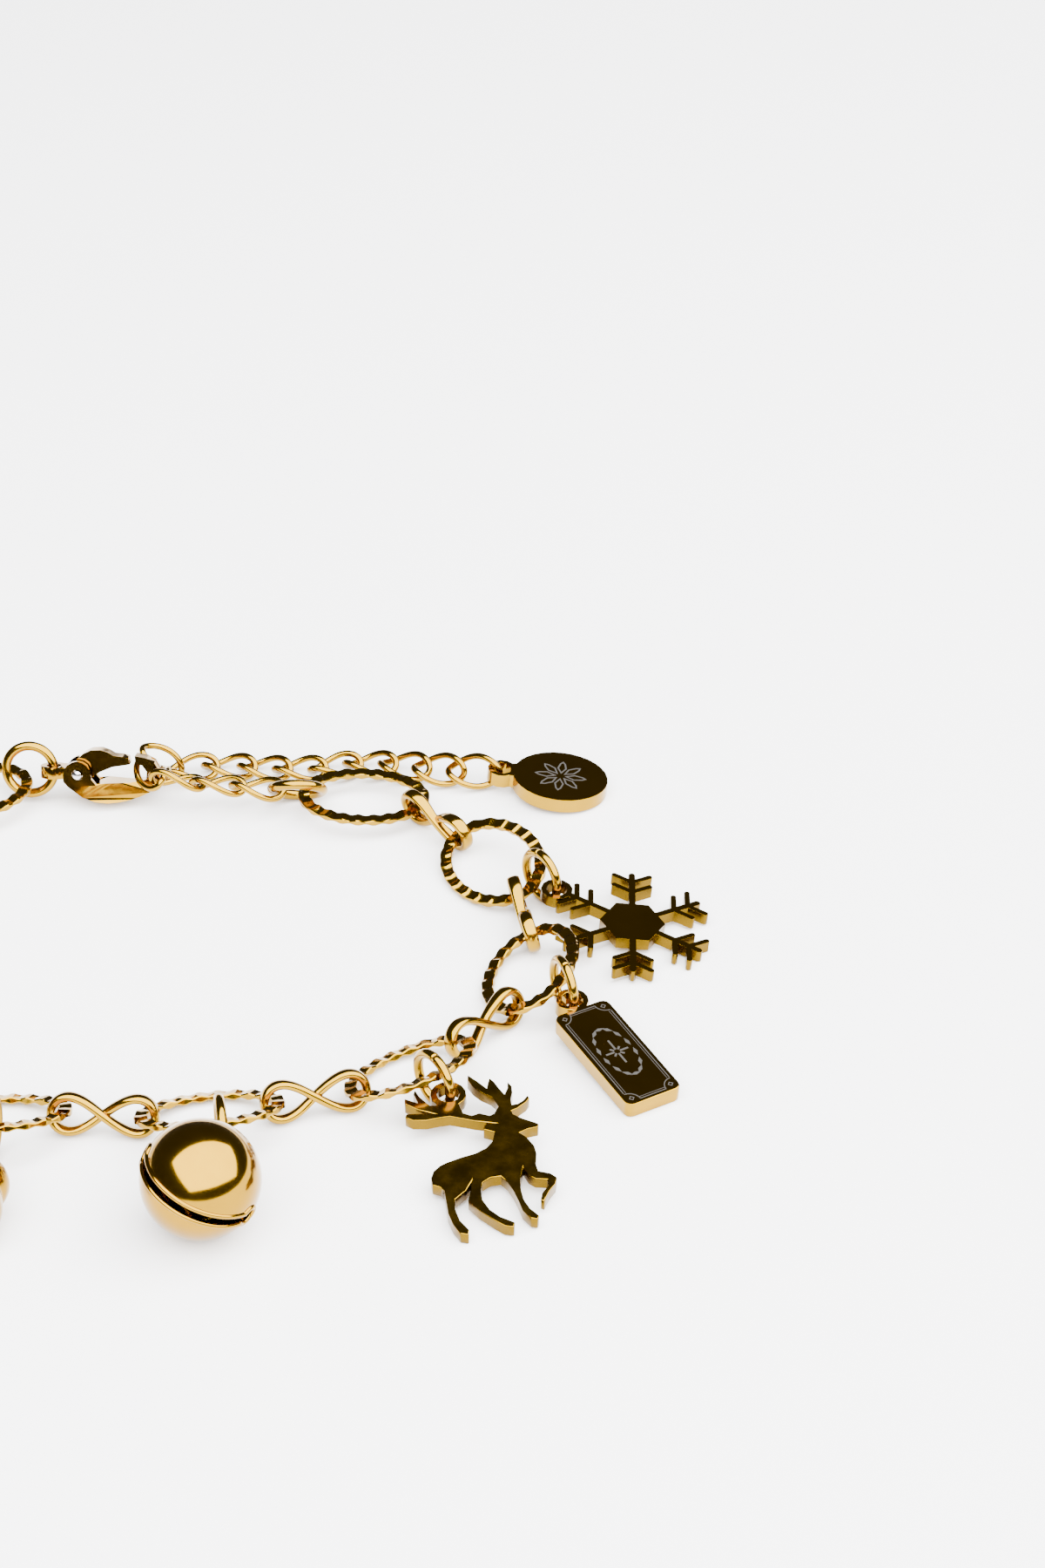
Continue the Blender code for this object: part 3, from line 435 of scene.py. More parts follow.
class BraceletColours(bpy.types.PropertyGroup):
    """Colours of the finishes and the strength of the light."""
    gold: bpy.props.FloatVectorProperty(name="Gold", description="Plating of the chain", subtype="COLOR",
                                        size=3, default=(0.33, 0.185, 0.006), min=0.0, max=1.0)
    warm_gold: bpy.props.FloatVectorProperty(name="Warm gold", description="Plating of the charms",
                                             subtype="COLOR", size=3, default=(0.31, 0.165, 0.004),
                                             min=0.0, max=1.0)
    steel: bpy.props.FloatVectorProperty(name="Steel", description="The rivet", subtype="COLOR",
                                         size=3, default=(0.62, 0.62, 0.63), min=0.0, max=1.0)
    paper: bpy.props.FloatVectorProperty(name="Floor", description="The pale floor", subtype="COLOR",
                                         size=3, default=(0.93, 0.93, 0.94), min=0.0, max=1.0)
    softbox: bpy.props.FloatProperty(name="Softbox", description="Power of the large light overhead",
                                     default=72.0, min=0.0)
    room: bpy.props.FloatProperty(name="Room", description="Brightness of the dark room around the table",
                                  default=0.1, min=0.0)


# Oval links
BAND_ACROSS = (-1.0, -0.9, -0.5, 0.0, 0.5, 0.9, 1.0)
OUTLINE_POINTS = 4801
FLUTE_STEPS = 7
FLUTE_CURVE = 1.35
# the flats' share of a flute's pitch at the band's middle, and what it loses towards the edges
FLAT_SHARE = 0.32
FLAT_TAPER = 0.14
# lower edges of the band, in millimetres, and its narrowing in a flute, as a share
LIP_DROP = 0.09
FLUTE_PINCH = 0.05


def oval_shape(sizes):
    """Oval ring whose two faces carry a row of flats between hollow cross flutes."""
    band = sizes.oval_band / MM / 2.0
    a = sizes.oval_length / MM / 2.0 - band
    b = sizes.oval_width / MM / 2.0 - band
    half = sizes.oval_thickness / MM / 2.0
    depth = sizes.flute_depth / MM
    fine = np.linspace(0.0, math.tau, OUTLINE_POINTS)
    run = np.concatenate([[0.0], np.cumsum(np.hypot(np.diff(a * np.cos(fine)), np.diff(b * np.sin(fine))))])
    profile = [(v, 1.0) for v in BAND_ACROSS] + [(v, -1.0) for v in BAND_ACROSS[::-1]]
    rows = []
    for i in range(sizes.ridges):
        for part in range(FLUTE_STEPS):
            along = (part - 1) / (FLUTE_STEPS - 1)
            hollow = 1.0 - abs(2.0 * along - 1.0) ** FLUTE_CURVE if part else 0.0
            row = []
            for v, face in profile:
                flat = FLAT_SHARE - FLAT_TAPER * abs(v)
                share = flat + (1.0 - flat) * along if part else 0.0
                t = float(np.interp((i + share) / sizes.ridges * run[-1], run, fine))
                n = Vector((math.cos(t) / a, math.sin(t) / b, 0.0)).normalized()
                reach = band * v * (1.0 - FLUTE_PINCH * hollow)
                height = half - depth * hollow - (LIP_DROP if abs(v) == 1.0 else 0.0)
                row.append(Vector((a * math.cos(t), b * math.sin(t), 0.0)) + n * reach + UP * height * face)
            rows.append(row)
    return Shape().tube(rows)


# Figure-eight links
EIGHT_POINTS = 120
EIGHT_SIDES = 16
# fuller loops: what is added at their middle, and the height that this comes to
EIGHT_BULGE = 0.3
EIGHT_FULLNESS = 1.16
# the strands' step aside in millimetres, and how soon it fades from the crossing
CROSSING_STEP = 0.16
CROSSING_REACH = 0.3
# the band's narrowing at the crossing, as a share, and its reach in millimetres
WAIST = 0.22
WAIST_REACH = 1.1
# how square the band's outline is across and through
SQUARE_ACROSS = 0.7
SQUARE_THROUGH = 0.8


def eight_shape(sizes):
    """Figure eight of flattened wire whose strands step aside where they cross."""
    thick = sizes.eight_thickness / MM / 2.0
    band = sizes.eight_band / MM / 2.0
    a = sizes.eight_length / MM / 2.0 - thick
    top = sizes.eight_height / MM / 2.0 - thick
    path = []
    for i in range(EIGHT_POINTS):
        s = math.tau * i / EIGHT_POINTS
        bulge = (1.0 + EIGHT_BULGE * math.sin(s) ** 2) / EIGHT_FULLNESS
        near = math.exp(-(math.cos(s) / CROSSING_REACH) ** 2)
        step = CROSSING_STEP * near * (1.0 if math.sin(s) > 0 else -1.0)
        path.append(Vector((a * math.cos(s), step, top * math.sin(2.0 * s) * bulge)))
    rows = []
    for i, place in enumerate(path):
        along = (path[(i + 1) % EIGHT_POINTS] - path[i - 1]).normalized()
        normal = Vector((0.0, 1.0, 0.0)).cross(along).normalized()
        narrow = 1.0 - WAIST * math.exp(-(place.x / WAIST_REACH) ** 2)
        row = []
        for j in range(EIGHT_SIDES):
            across = math.cos(math.tau * j / EIGHT_SIDES)
            through = math.sin(math.tau * j / EIGHT_SIDES)
            y = band * narrow * math.copysign(abs(across) ** SQUARE_ACROSS, across)
            d = thick * math.copysign(abs(through) ** SQUARE_THROUGH, through)
            row.append(place + Vector((0.0, y, 0.0)) + normal * d)
        rows.append(row)
    return Shape().tube(rows)


# Curb links and jump rings
CURB_POINTS = 56
CURB_TWIST = 45.0
WIRE_SIDES = 14
RING_STEPS = 96
RING_SIDES = 18
RING_SPLIT = 0.05


def curb_shape(sizes):
    """Oval of round wire whose two ends are twisted against each other."""
    a = (sizes.curb_length - sizes.curb_wire) / MM / 2.0
    b = (sizes.curb_width - sizes.curb_wire) / MM / 2.0
    path = []
    for i in range(CURB_POINTS):
        t = math.tau * i / CURB_POINTS
        lean = math.radians(CURB_TWIST) * math.cos(t)
        side = b * math.sin(t)
        path.append(Vector((a * math.cos(t), side * math.cos(lean), side * math.sin(lean))))
    return Shape().wire(path, sizes.curb_wire / MM / 2.0, WIRE_SIDES)


def ring_shape(diameter, wire, split):
    """Round ring with a fine butt split at the given angle in degrees."""
    middle = (diameter - wire) / 2.0
    gap = math.degrees(RING_SPLIT / middle)
    path = []
    for i in range(RING_STEPS + 1):
        angle = math.radians(split + gap + (360.0 - 2.0 * gap) * i / RING_STEPS)
        path.append(Vector((middle * math.cos(angle), middle * math.sin(angle), 0.0)))
    return Shape().wire(path, wire / 2.0, RING_SIDES, closed=False)


class BRACELET_OT_ovals(bpy.types.Operator):
    """Fluted oval links of the main chain"""
    bl_idname = "bracelet.ovals"
    bl_label = "Oval links"

    def execute(self, context):
        for node in sorted(n for n in NODES if n.startswith("oval_link")):
            shape = oval_shape(context.scene.bracelet_sizes)
            dress(shape.piece(node + "_fluted", pose_of(node), Metals.get("link"), 12.0), node)
        return {"FINISHED"}


class BRACELET_OT_eights(bpy.types.Operator):
    """Smooth figure-eight links of the main chain"""
    bl_idname = "bracelet.eights"
    bl_label = "Figure-eight links"

    def execute(self, context):
        for node in sorted(n for n in NODES if n.startswith("eight_link")):
            # the band runs across the node's shortest direction
            pose = pose_of(node, upright=False) @ Matrix.Rotation(math.pi / 2.0, 4, "X")
            shape = eight_shape(context.scene.bracelet_sizes)
            dress(shape.piece(node + "_band", pose, Metals.get("chain"), 50.0), node)
        return {"FINISHED"}


class BRACELET_OT_curbs(bpy.types.Operator):
    """Twisted curb links of the extender"""
    bl_idname = "bracelet.curbs"
    bl_label = "Curb links"

    def execute(self, context):
        for node in sorted(n for n in NODES if n.startswith("curb_link")):
            shape = curb_shape(context.scene.bracelet_sizes)
            dress(shape.piece(node + "_wire", pose_of(node), Metals.get("chain")), node)
        return {"FINISHED"}


# node, diameter, wire, angle of the split from the level
RINGS = (
    ("snowflake_ring", 4.5, 0.7, 100.0),
    ("ticket_ring", 4.5, 0.7, 80.0),
    ("reindeer_ring", 4.5, 0.7, 95.0),
    ("bell_ring", 5.2, 0.7, 60.0),
    ("bauble_ring", 6.0, 0.7, 60.0),
    ("clasp_ring", 4.6, 0.75, 250.0),
    ("extender_ring", 4.8, 0.8, 20.0),
)


class BRACELET_OT_rings(bpy.types.Operator):
    """Jump rings of round wire with a butt split"""
    bl_idname = "bracelet.rings"
    bl_label = "Jump rings"

    def execute(self, context):
        for node, diameter, wire, split in RINGS:
            pose = pose_of(node)
            normal = pose.to_3x3().col[2].normalized()
            # local Y points up along the ring's plane, so the split's angle counts from the level
            y = (UP - normal * UP.dot(normal)).normalized()
            x = y.cross(normal)
            level = Matrix((x, y, normal)).transposed().to_4x4()
            level.translation = pose.translation
            dress(ring_shape(diameter, wire, split).piece(node + "_wire", level, Metals.get("chain")), node)
        return {"FINISHED"}


# Flat charms
CHARM_EDGE = 40.0


def flat_charm(node, rim, top, side):
    """A bevelled copy whose side walls take their own finish; the snowflake's and reindeer's is darker,
    rougher gold, painted shade.
    """
    shape = soften(copy_of(node), rim, CHARM_EDGE, 2)
    item = flatten(shape.piece(node + "_plate", Matrix.Identity(4), top, 30.0))
    item.data.materials.append(side)
    normal = pose_of(node).to_3x3().col[2]
    for polygon in item.data.polygons:
        polygon.material_index = 1 if abs(polygon.normal.dot(normal)) < 0.5 else 0
    return dress(item, node)


# Engraving, in millimetres
ENGRAVING = 0.012
LIFT = Matrix.Translation((0.0, 0.0, 0.002 * MM))

# the ticket plate: its ear's place, its heading in degrees, its thickness and the height of its ear
TICKET_EAR = (3.5, -31.3, 0.0)
TICKET_HEADING = -60.0
TICKET_THICKNESS = 1.2
TICKET_RISE = 1.6
# its near and far edges from the middle of the ear's hole, and its half width
PLATE_NEAR = 1.03
PLATE_FAR = 11.33
PLATE_HALF = 2.2
# inset and width of each border line, and how far the lines stop short of the long and the short ends
BORDERS = ((0.34, 0.07), (0.52, 0.04))
STOP_LONG = 1.25
STOP_SHORT = 1.15
CORNER_INSET = 0.34
CORNER_ARC = 0.82
CORNER_LINE = 0.07
# corners of the lozenge, along and across
GEM = ((0.28, 0.1), (0.46, 0.28), (0.28, 0.46), (0.1, 0.28))
GEM_LINE = 0.06
# half length and half width of the wreath and of one leaf
LEAVES = 14
WREATH = (2.5, 1.2)
LEAF = (0.42, 0.15)
# strokes of the star: near end, far end, what every second and what the cross strokes lose, line
STROKES = 8
STAR_NEAR = 0.22
STAR_FAR = 1.25
STAR_SECOND = 0.45
STAR_CROSS = 0.35
STAR_LINE = 0.15

# the end tag: from its far end to the middle of its disc, and its rim against the charms'
TAG_MIDDLE = 3.8
TAG_RIM = 1.3
PETALS = 8
PETAL_LINE = 0.13
# corners of a petal, out and to the side
PETAL = ((0.45, 0.0), (1.1, 0.32), (1.75, 0.18), (2.0, 0.0), (1.75, -0.18), (1.1, -0.32))


def strip(shape, points, width, closed=False):
    """A low raised line along points on a flat face."""
    count = len(points)
    rows = []
    for i, p in enumerate(points):
        before = points[i - 1] if closed or i else points[i]
        after = points[(i + 1) % count] if closed or i < count - 1 else points[i]
        along = (after - before).normalized()
        turn = Vector((-along.y, along.x, 0.0))
        first = (p - before).normalized() if i or closed else along
        reach = turn * (width / 2.0 / max(0.5, Vector((-first.y, first.x, 0.0)).dot(turn)))
        rise = UP * ENGRAVING
        rows.append([p - reach, p + reach, p + reach + rise, p - reach + rise])
    shape.tube(rows, closed)


def leaf(shape, centre, along, across):
    """A low raised lozenge."""
    corners = (centre - along, centre + across, centre + along, centre - across)
    low = [shape.data.verts.new(p) for p in corners]
    high = [shape.data.verts.new(p + UP * ENGRAVING) for p in corners]
    shape.data.faces.new(low[::-1])
    shape.data.faces.new(high)
    for i in range(len(corners)):
        j = (i + 1) % len(corners)
        shape.data.faces.new((low[i], low[j], high[j], high[i]))


def spokes(count):
    """Even directions round a flat face, each with the one to its side."""
    for k in range(count):
        out = Vector((math.cos(math.tau * k / count), math.sin(math.tau * k / count), 0.0))
        yield k, out, Vector((-out.y, out.x, 0.0))


def ticket_pose():
    """The plate held up at its ear, its origin on the upper face at the ear's hole."""
    rise = TICKET_RISE - TICKET_THICKNESS / 2.0
    slope = math.asin(rise / PLATE_FAR)
    turn = math.radians(TICKET_HEADING)
    out = Vector((math.cos(turn), math.sin(turn), 0.0))
    x = out * math.cos(slope) - UP * math.sin(slope)
    y = UP.cross(out)
    z = x.cross(y)
    pose = Matrix((x, y, z)).transposed().to_4x4()
    pose.translation = (Vector(TICKET_EAR) + SHIFT + UP * rise + z * TICKET_THICKNESS) * MM
    return pose


class BRACELET_OT_snowflake(bpy.types.Operator):
    """Snowflake charm with a polished top"""
    bl_idname = "bracelet.snowflake"
    bl_label = "Snowflake"

    def execute(self, context):
        rim = context.scene.bracelet_sizes.rim / MM
        flat_charm("snowflake", rim, Metals.get("charm"), Metals.get("side"))
        return {"FINISHED"}


class BRACELET_OT_ticket(bpy.types.Operator):
    """Ticket plate with a frosted double border and corner ornaments"""
    bl_idname = "bracelet.ticket"
    bl_label = "Ticket plate"

    def execute(self, context):
        rim = context.scene.bracelet_sizes.rim / MM
        flat_charm("ticket_plate", rim, Metals.get("charm"), Metals.get("link"))
        shape = Shape()
        for inset, width in BORDERS:
            for sign in (-1.0, 1.0):
                y = sign * (PLATE_HALF - inset)
                ends = (PLATE_NEAR + STOP_LONG, PLATE_FAR - STOP_LONG)
                strip(shape, [Vector((x, y, 0.0)) for x in ends], width)
            for x in (PLATE_NEAR + inset, PLATE_FAR - inset):
                ends = (STOP_SHORT - PLATE_HALF, PLATE_HALF - STOP_SHORT)
                strip(shape, [Vector((x, y, 0.0)) for y in ends], width)
        for x, sx in ((PLATE_NEAR, 1.0), (PLATE_FAR, -1.0)):
            for sy in (-1.0, 1.0):
                # a quarter circle and a small lozenge in each corner
                corner = Vector((x + sx * CORNER_INSET, sy * (PLATE_HALF - CORNER_INSET), 0.0))
                sweep = [corner + Vector((sx * math.cos(q), -sy * math.sin(q), 0.0)) * CORNER_ARC
                         for q in np.linspace(0.0, math.pi / 2.0, 10)]
                strip(shape, sweep, CORNER_LINE)
                strip(shape, [corner + Vector((sx * u, -sy * v, 0.0)) for u, v in GEM], GEM_LINE, closed=True)
        # a plain wreath of leaves round a star
        middle = Vector(((PLATE_NEAR + PLATE_FAR) / 2.0, 0.0, 0.0))
        for _, out, side in spokes(LEAVES):
            along = Vector((WREATH[0] * side.x, WREATH[1] * side.y, 0.0)).normalized()
            across = Vector((-along.y, along.x, 0.0))
            place = middle + Vector((WREATH[0] * out.x, WREATH[1] * out.y, 0.0))
            leaf(shape, place, along * LEAF[0], across * LEAF[1])
        for k, out, _ in spokes(STROKES):
            reach = STAR_FAR - STAR_SECOND * (k % 2) - STAR_CROSS * abs(out.y)
            strip(shape, [middle + out * STAR_NEAR, middle + out * reach], STAR_LINE)
        item = shape.piece("ticket_frost_ornament", ticket_pose() @ LIFT, Metals.get("frost"), 30.0)
        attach(item, "bracelet")
        return {"FINISHED"}


class BRACELET_OT_reindeer(bpy.types.Operator):
    """Leaping reindeer charm"""
    bl_idname = "bracelet.reindeer"
    bl_label = "Reindeer"

    def execute(self, context):
        flat_charm("reindeer", context.scene.bracelet_sizes.rim / MM, Metals.get("deer"), Metals.get("side"))
        return {"FINISHED"}


class BRACELET_OT_tag(bpy.types.Operator):
    """Rounded end tag with a frosted rosette"""
    bl_idname = "bracelet.tag"
    bl_label = "End tag"

    def execute(self, context):
        rim = context.scene.bracelet_sizes.rim / MM * TAG_RIM
        flat_charm("end_tag", rim, Metals.get("charm"), Metals.get("link"))
        pose = pose_of("end_tag")
        points = points_of("end_tag")
        normal = pose.to_3x3().col[2]
        high = max(Vector(p).dot(normal) for p in points)
        low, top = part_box("end_tag")
        centre = Vector((top.x - TAG_MIDDLE * MM, (low.y + top.y) / 2.0, points.mean(axis=0)[2]))
        centre += normal * (high - centre.dot(normal))
        pose.translation = centre
        shape = Shape()
        for _, out, side in spokes(PETALS):
            strip(shape, [out * u + side * v for u, v in PETAL], PETAL_LINE, closed=True)
        item = shape.piece("end_tag_frost_rosette", pose @ LIFT, Metals.get("frost"), 30.0)
        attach(item, "bracelet")
        return {"FINISHED"}


# Bell and bauble, in millimetres and degrees
BELL_RADIUS = 4.0
BELL_PLACE = (-21.0, -53.2, BELL_RADIUS)
BELL_WALL = 0.4
BELL_HEADING = 75.0
BELL_DIP = 12.0
BELL_TURN = 24.0
BELL_LOOP = 4.65
PELLET_RADIUS = 1.3
# the slot: its width, its upper end, the holes at its ends, and tools that reach past the shell
SLOT_WIDTH = 0.7
SLOT_TOP = -0.8
SLOT_HOLE = 0.65
TOOL_LENGTH = 10.0
TOOL_DEPTH = 5.0
# the rolled lip: wire radius, depth in the shell, half width, end radius, half sweep, height of the joins
LIP_WIRE = 0.17
LIP_SINK = 0.02
LIP_HALF = 0.42
LIP_END = 0.7
LIP_SWEEP = 70.0
LIP_JOIN = -1.25
LOOP_RADIUS = 0.95
LOOP_WIRE = 0.3
LOOP_STEPS = 48
BAUBLE_PLACE = (-36.3, -53.0, 2.62)
BAUBLE_LOOP = 3.15
BAUBLE_STEPS = 60
# radius and height of the bauble's corners, from its collar's top to its foot
BAUBLE = ((0.0, 2.2), (1.1, 2.1), (2.0, 2.0), (2.45, 1.6), (2.6, 1.0), (2.45, 0.4), (2.1, 0.0),
          (2.35, -0.66), (2.45, -1.65), (2.3, -2.38), (1.75, -3.07), (1.05, -3.3), (0.0, -3.4))


def bell_frame():
    """Local Z runs to the loop and local X along the slot, as the shell's own directions."""
    heading = math.radians(BELL_HEADING)
    dip = math.radians(BELL_DIP)
    axis = Vector((math.cos(heading), math.sin(heading), 0.0)) * math.cos(dip) - UP * math.sin(dip)
    side = axis.cross(UP)
    y = axis.cross(side).normalized()
    level = Matrix((y.cross(axis), y, axis)).transposed().to_4x4()
    level.translation = (Vector(BELL_PLACE) + SHIFT) * MM
    return level


def ball_profile(radius, steps):
    """Radius and height down the side of a ball."""
    turns = [math.pi * i / steps for i in range(1, steps)]
    return [(0.0, radius)] + [(radius * math.sin(t), radius * math.cos(t)) for t in turns] + [(0.0, -radius)]


def loop_shape(height):
    """Soldered wire loop round local Y."""
    path = [Vector((LOOP_RADIUS * math.cos(q), 0.0, height + LOOP_RADIUS * math.sin(q)))
            for q in np.linspace(0.0, math.tau, LOOP_STEPS + 1)[:-1]]
    return Shape().wire(path, LOOP_WIRE, WIRE_SIDES)


def lip_path():
    """Middle line of the lip: both sides of the slot and round its end holes, on the shell."""
    turns = np.radians(np.linspace(-LIP_SWEEP, LIP_SWEEP, 41))
    side = [(math.sin(t) * BELL_RADIUS, LIP_HALF, -math.cos(t) * BELL_RADIUS) for t in turns]
    side = [p for p in side if p[2] < LIP_JOIN]
    end = [(BELL_RADIUS, LIP_END * math.cos(q), SLOT_TOP + LIP_END * math.sin(q))
           for q in np.radians(np.linspace(-40.0, 220.0, 25))]
    path = side + end + [(x, -y, z) for x, y, z in side[::-1]] + [(-x, y, z) for x, y, z in end[::-1]]
    reach = BELL_RADIUS - LIP_SINK
    lip = []
    for x, y, z in path:
        if abs(x) > 1.0:
            lip.append(Vector((math.copysign(math.sqrt(max(0.0, reach ** 2 - y * y - z * z)), x), y, z)))
        else:
            lip.append(Vector((x, y, z)).normalized() * reach)
    return lip


class BRACELET_OT_bell(bpy.types.Operator):
    """Round bell with a rolled slot, its soldered loop and its pellet"""
    bl_idname = "bracelet.bell"
    bl_label = "Bell"

    def execute(self, context):
        level = bell_frame()
        pose = level @ Matrix.Rotation(math.radians(BELL_TURN), 4, "Z")
        gold = Metals.get("bell")
        shell = Shape().lathe(ball_profile(BELL_RADIUS, 64), 128).piece("bell_shell_round", pose, gold)
        hollow = Shape().lathe(ball_profile(BELL_RADIUS - BELL_WALL, 40), 80)
        slot = Shape()
        bmesh.ops.create_cube(slot.data, size=1.0)
        for vert in slot.data.verts:
            x, y, z = vert.co
            vert.co = Vector((x * TOOL_LENGTH, y * SLOT_WIDTH, SLOT_TOP - (0.5 - z) * TOOL_DEPTH))
        ends = [(0.0, TOOL_DEPTH), (SLOT_HOLE, TOOL_DEPTH), (SLOT_HOLE, -TOOL_DEPTH), (0.0, -TOOL_DEPTH)]
        turned = pose @ Matrix.Translation((0.0, 0.0, SLOT_TOP * MM)) @ Matrix.Rotation(math.pi / 2.0, 4, "Y")
        # the cut inner wall takes the hollow's darkened gold, painted shade
        cut(shell, (hollow.piece("bell_hollow", pose, Metals.get("inside")),
                    slot.piece("bell_slot", pose, gold),
                    Shape().lathe(ends, 40).piece("bell_hole", turned, gold)))
        shell.data.set_sharp_from_angle(angle=math.radians(25.0))
        dress(shell, "bell_shell")
        lip = Shape().wire(lip_path(), LIP_WIRE, WIRE_SIDES)
        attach(lip.piece("bell_slot_lip", pose, gold), "bracelet")
        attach(loop_shape(BELL_LOOP).piece("bell_loop", level, gold), "bracelet")
        ball = Shape().lathe(ball_profile(PELLET_RADIUS, 20), 40)
        spot = Matrix.Translation(pose_of("bell_pellet").translation)
        dress(ball.piece("bell_pellet_ball", spot, Metals.get("steel")), "bell_pellet")
        return {"FINISHED"}


class BRACELET_OT_bauble(bpy.types.Operator):
    """Bauble with a domed collar, its body and its loop"""
    bl_idname = "bracelet.bauble"
    bl_label = "Bauble"

    def execute(self, context):
        # the corners of the profile are rounded by even steps between them
        run = np.concatenate([[0.0], np.cumsum([math.dist(p, q) for p, q in zip(BAUBLE, BAUBLE[1:])])])
        steps = np.linspace(0.0, run[-1], BAUBLE_STEPS)
        profile = np.stack([np.interp(steps, run, [p[k] for p in BAUBLE]) for k in range(2)], axis=1)
        for _ in range(2):
            profile[1:-1] = (profile[:-2] + 2.0 * profile[1:-1] + profile[2:]) / 4.0
        pose = Matrix(((-1.0, 0.0, 0.0), (0.0, 0.0, 1.0), (0.0, 1.0, 0.0))).to_4x4()
        pose.translation = (Vector(BAUBLE_PLACE) + SHIFT) * MM
        gold = Metals.get("bell")
        dress(Shape().lathe([tuple(p) for p in profile], 64).piece("bauble_round", pose, gold), "bauble")
        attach(loop_shape(BAUBLE_LOOP).piece("bauble_loop", pose, gold), "bracelet")
        return {"FINISHED"}


# Clasp, in millimetres and degrees
CLASP_PLACE = (-38.2, -2.6, 0.34)
CLASP_TURN = -3.2
CLASP_LEAN = 18.0
CLASP_EDGE = 32.0
BODY_RIM = 0.2
LEVER_RIM = 0.22
RIVET_RIM = 0.04
# the inner edge of the back: from and to along the clasp, low and high up its flat side
BACK_ALONG = (4.7, 8.2)
BACK_UP = (0.9, 1.6)
# it is raised to the first height, and past a place along the clasp to the second
BACK_HEIGHTS = (1.7, 1.85)
BACK_CHANGE = 7.6


def clasp_frame():
    """In millimetres: local X from bail to nose, local Y up the flat side."""
    turn = math.radians(CLASP_TURN)
    lean = math.radians(CLASP_LEAN)
    x = Vector((math.cos(turn), math.sin(turn), 0.0))
    y = UP * math.cos(lean) + Vector((-x.y, x.x, 0.0)) * math.sin(lean)
    pose = Matrix((x, y, x.cross(y))).transposed().to_4x4()
    pose.translation = Vector(CLASP_PLACE) + SHIFT
    return pose


class BRACELET_OT_clasp(bpy.types.Operator):
    """Clasp body, lever and rivet with softened edges"""
    bl_idname = "bracelet.clasp"
    bl_label = "Clasp"

    def execute(self, context):
        pose = clasp_frame()
        body = copy_of("clasp_body")
        # a fuller back, which narrows the opening under the lever
        for vert in body.data.verts:
            u, v, w = pose.inverted() @ vert.co
            if BACK_ALONG[0] < u < BACK_ALONG[1] and BACK_UP[0] < v < BACK_UP[1]:
                vert.co = pose @ Vector((u, BACK_HEIGHTS[0] if u < BACK_CHANGE else BACK_HEIGHTS[1], w))
        gold = Metals.get("charm")
        steel = Metals.get("steel")
        for node, shape, rim, segments, name, metal, crease in (
                ("clasp_body", body, BODY_RIM, 3, "clasp_body_polished", gold, 24.0),
                ("clasp_lever", copy_of("clasp_lever"), LEVER_RIM, 3, "clasp_lever_polished", gold, 24.0),
                ("clasp_rivet", copy_of("clasp_rivet"), RIVET_RIM, 2, "clasp_rivet_head", steel, 30.0)):
            soften(shape, rim, CLASP_EDGE, segments)
            dress(flatten(shape.piece(name, Matrix.Identity(4), metal, crease)), node)
        return {"FINISHED"}


# Stage: lengths in metres, and the camera's place in millimetres from the zero of the layout
FLOOR_DROP = 0.00002
FLOOR_REACH = 1200.0
LAMP_LENGTH = 1.7
LAMP_WIDTH = 1.04
LAMP_PLACE = (0.3, -0.155, 0.475)
LAMP_BACK = (0.08, -0.155, 0.475)
SENSOR = 36.0
PHOTO_HEIGHT = 1800.0
FOCAL_PIXELS = 3580.0
CAMERA_PLACE = (0.0, -209.22, 136.86)
CAMERA_PITCH = 33.19


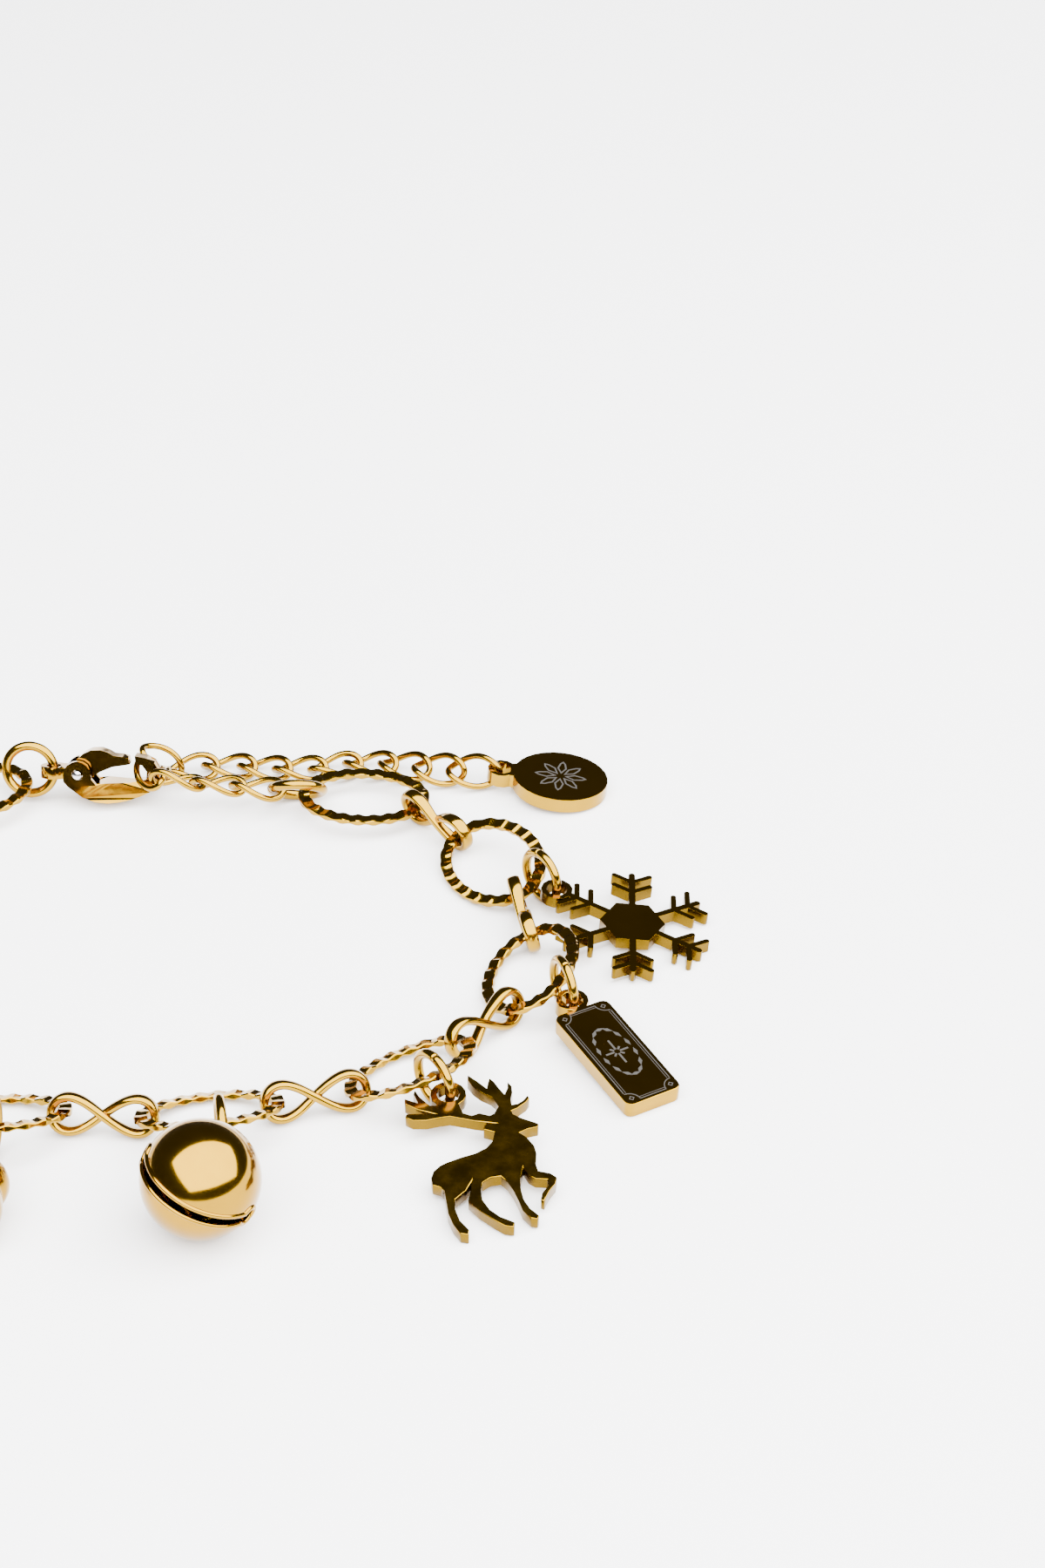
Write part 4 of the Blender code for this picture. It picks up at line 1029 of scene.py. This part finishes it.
class BRACELET_OT_stage(bpy.types.Operator):
    """Pale floor, soft overhead light, dark room and the camera"""
    bl_idname = "bracelet.stage"
    bl_label = "Stage"

    def execute(self, context):
        colours = context.scene.bracelet_colours
        finish = Finish("pale_paper")
        grain = finish.noise(PAPER_GRAIN, 3.0)
        paper = finish.blend(grain, shade(colours.paper, 0.985), shade(colours.paper, 1.0))
        floor = Shape()
        bmesh.ops.create_grid(floor.data, x_segments=1, y_segments=1, size=FLOOR_REACH)
        floor.piece("floor", Matrix.Translation((0.0, 0.0, -FLOOR_DROP)),
                             finish.surface(Base_Color=paper, Roughness=0.75))

        world = bpy.data.worlds.new("dark_room")
        world.use_nodes = True
        back = world.node_tree.nodes["Background"]
        back.inputs["Color"].default_value = (1.0, 1.0, 1.0, 1.0)
        back.inputs["Strength"].default_value = colours.room
        context.scene.world = world

        light = bpy.data.lights.new("softbox", "AREA")
        light.shape = "RECTANGLE"
        light.size = LAMP_LENGTH
        light.size_y = LAMP_WIDTH
        light.energy = colours.softbox
        lamp = bpy.data.objects.new("softbox", light)
        context.scene.collection.objects.link(lamp)
        lamp.location = LAMP_PLACE
        lamp.rotation_euler = Vector(LAMP_BACK).to_track_quat("Z", "Y").to_euler()

        data = bpy.data.cameras.new("camera")
        data.sensor_width = SENSOR
        data.lens = SENSOR * FOCAL_PIXELS / PHOTO_HEIGHT
        data.clip_start = 0.01
        camera = bpy.data.objects.new("camera", data)
        context.scene.collection.objects.link(camera)
        camera.location = (Vector(CAMERA_PLACE) + SHIFT) * MM
        camera.rotation_euler = (math.radians(90.0 - CAMERA_PITCH), 0.0, 0.0)
        context.scene.camera = camera
        return {"FINISHED"}


PIECES = (BRACELET_OT_ovals, BRACELET_OT_eights, BRACELET_OT_curbs, BRACELET_OT_rings, BRACELET_OT_snowflake,
          BRACELET_OT_ticket, BRACELET_OT_reindeer, BRACELET_OT_tag, BRACELET_OT_bell, BRACELET_OT_bauble,
          BRACELET_OT_clasp, BRACELET_OT_stage)


class BRACELET_PT_panel(bpy.types.Panel):
    """Lists the sizes, the colours and the pieces"""
    bl_label = "Charm bracelet"
    bl_idname = "BRACELET_PT_panel"
    bl_space_type = "VIEW_3D"
    bl_region_type = "UI"
    bl_category = "Bracelet"

    def draw(self, context):
        for group in (context.scene.bracelet_sizes, context.scene.bracelet_colours):
            for key in group.__annotations__:
                self.layout.prop(group, key)
        for operator in PIECES:
            self.layout.operator(operator.bl_idname)


CLASSES = (BraceletSizes, BraceletColours, *PIECES, BRACELET_PT_panel)


def register():
    for item in CLASSES:
        bpy.utils.register_class(item)
    bpy.types.Scene.bracelet_sizes = bpy.props.PointerProperty(type=BraceletSizes)
    bpy.types.Scene.bracelet_colours = bpy.props.PointerProperty(type=BraceletColours)


def unregister():
    del bpy.types.Scene.bracelet_colours
    del bpy.types.Scene.bracelet_sizes
    for item in reversed(CLASSES):
        bpy.utils.unregister_class(item)


def main():
    register()
    for operator in PIECES:
        group, name = operator.bl_idname.split(".")
        getattr(getattr(bpy.ops, group), name)()


if __name__ == "__main__":
    main()
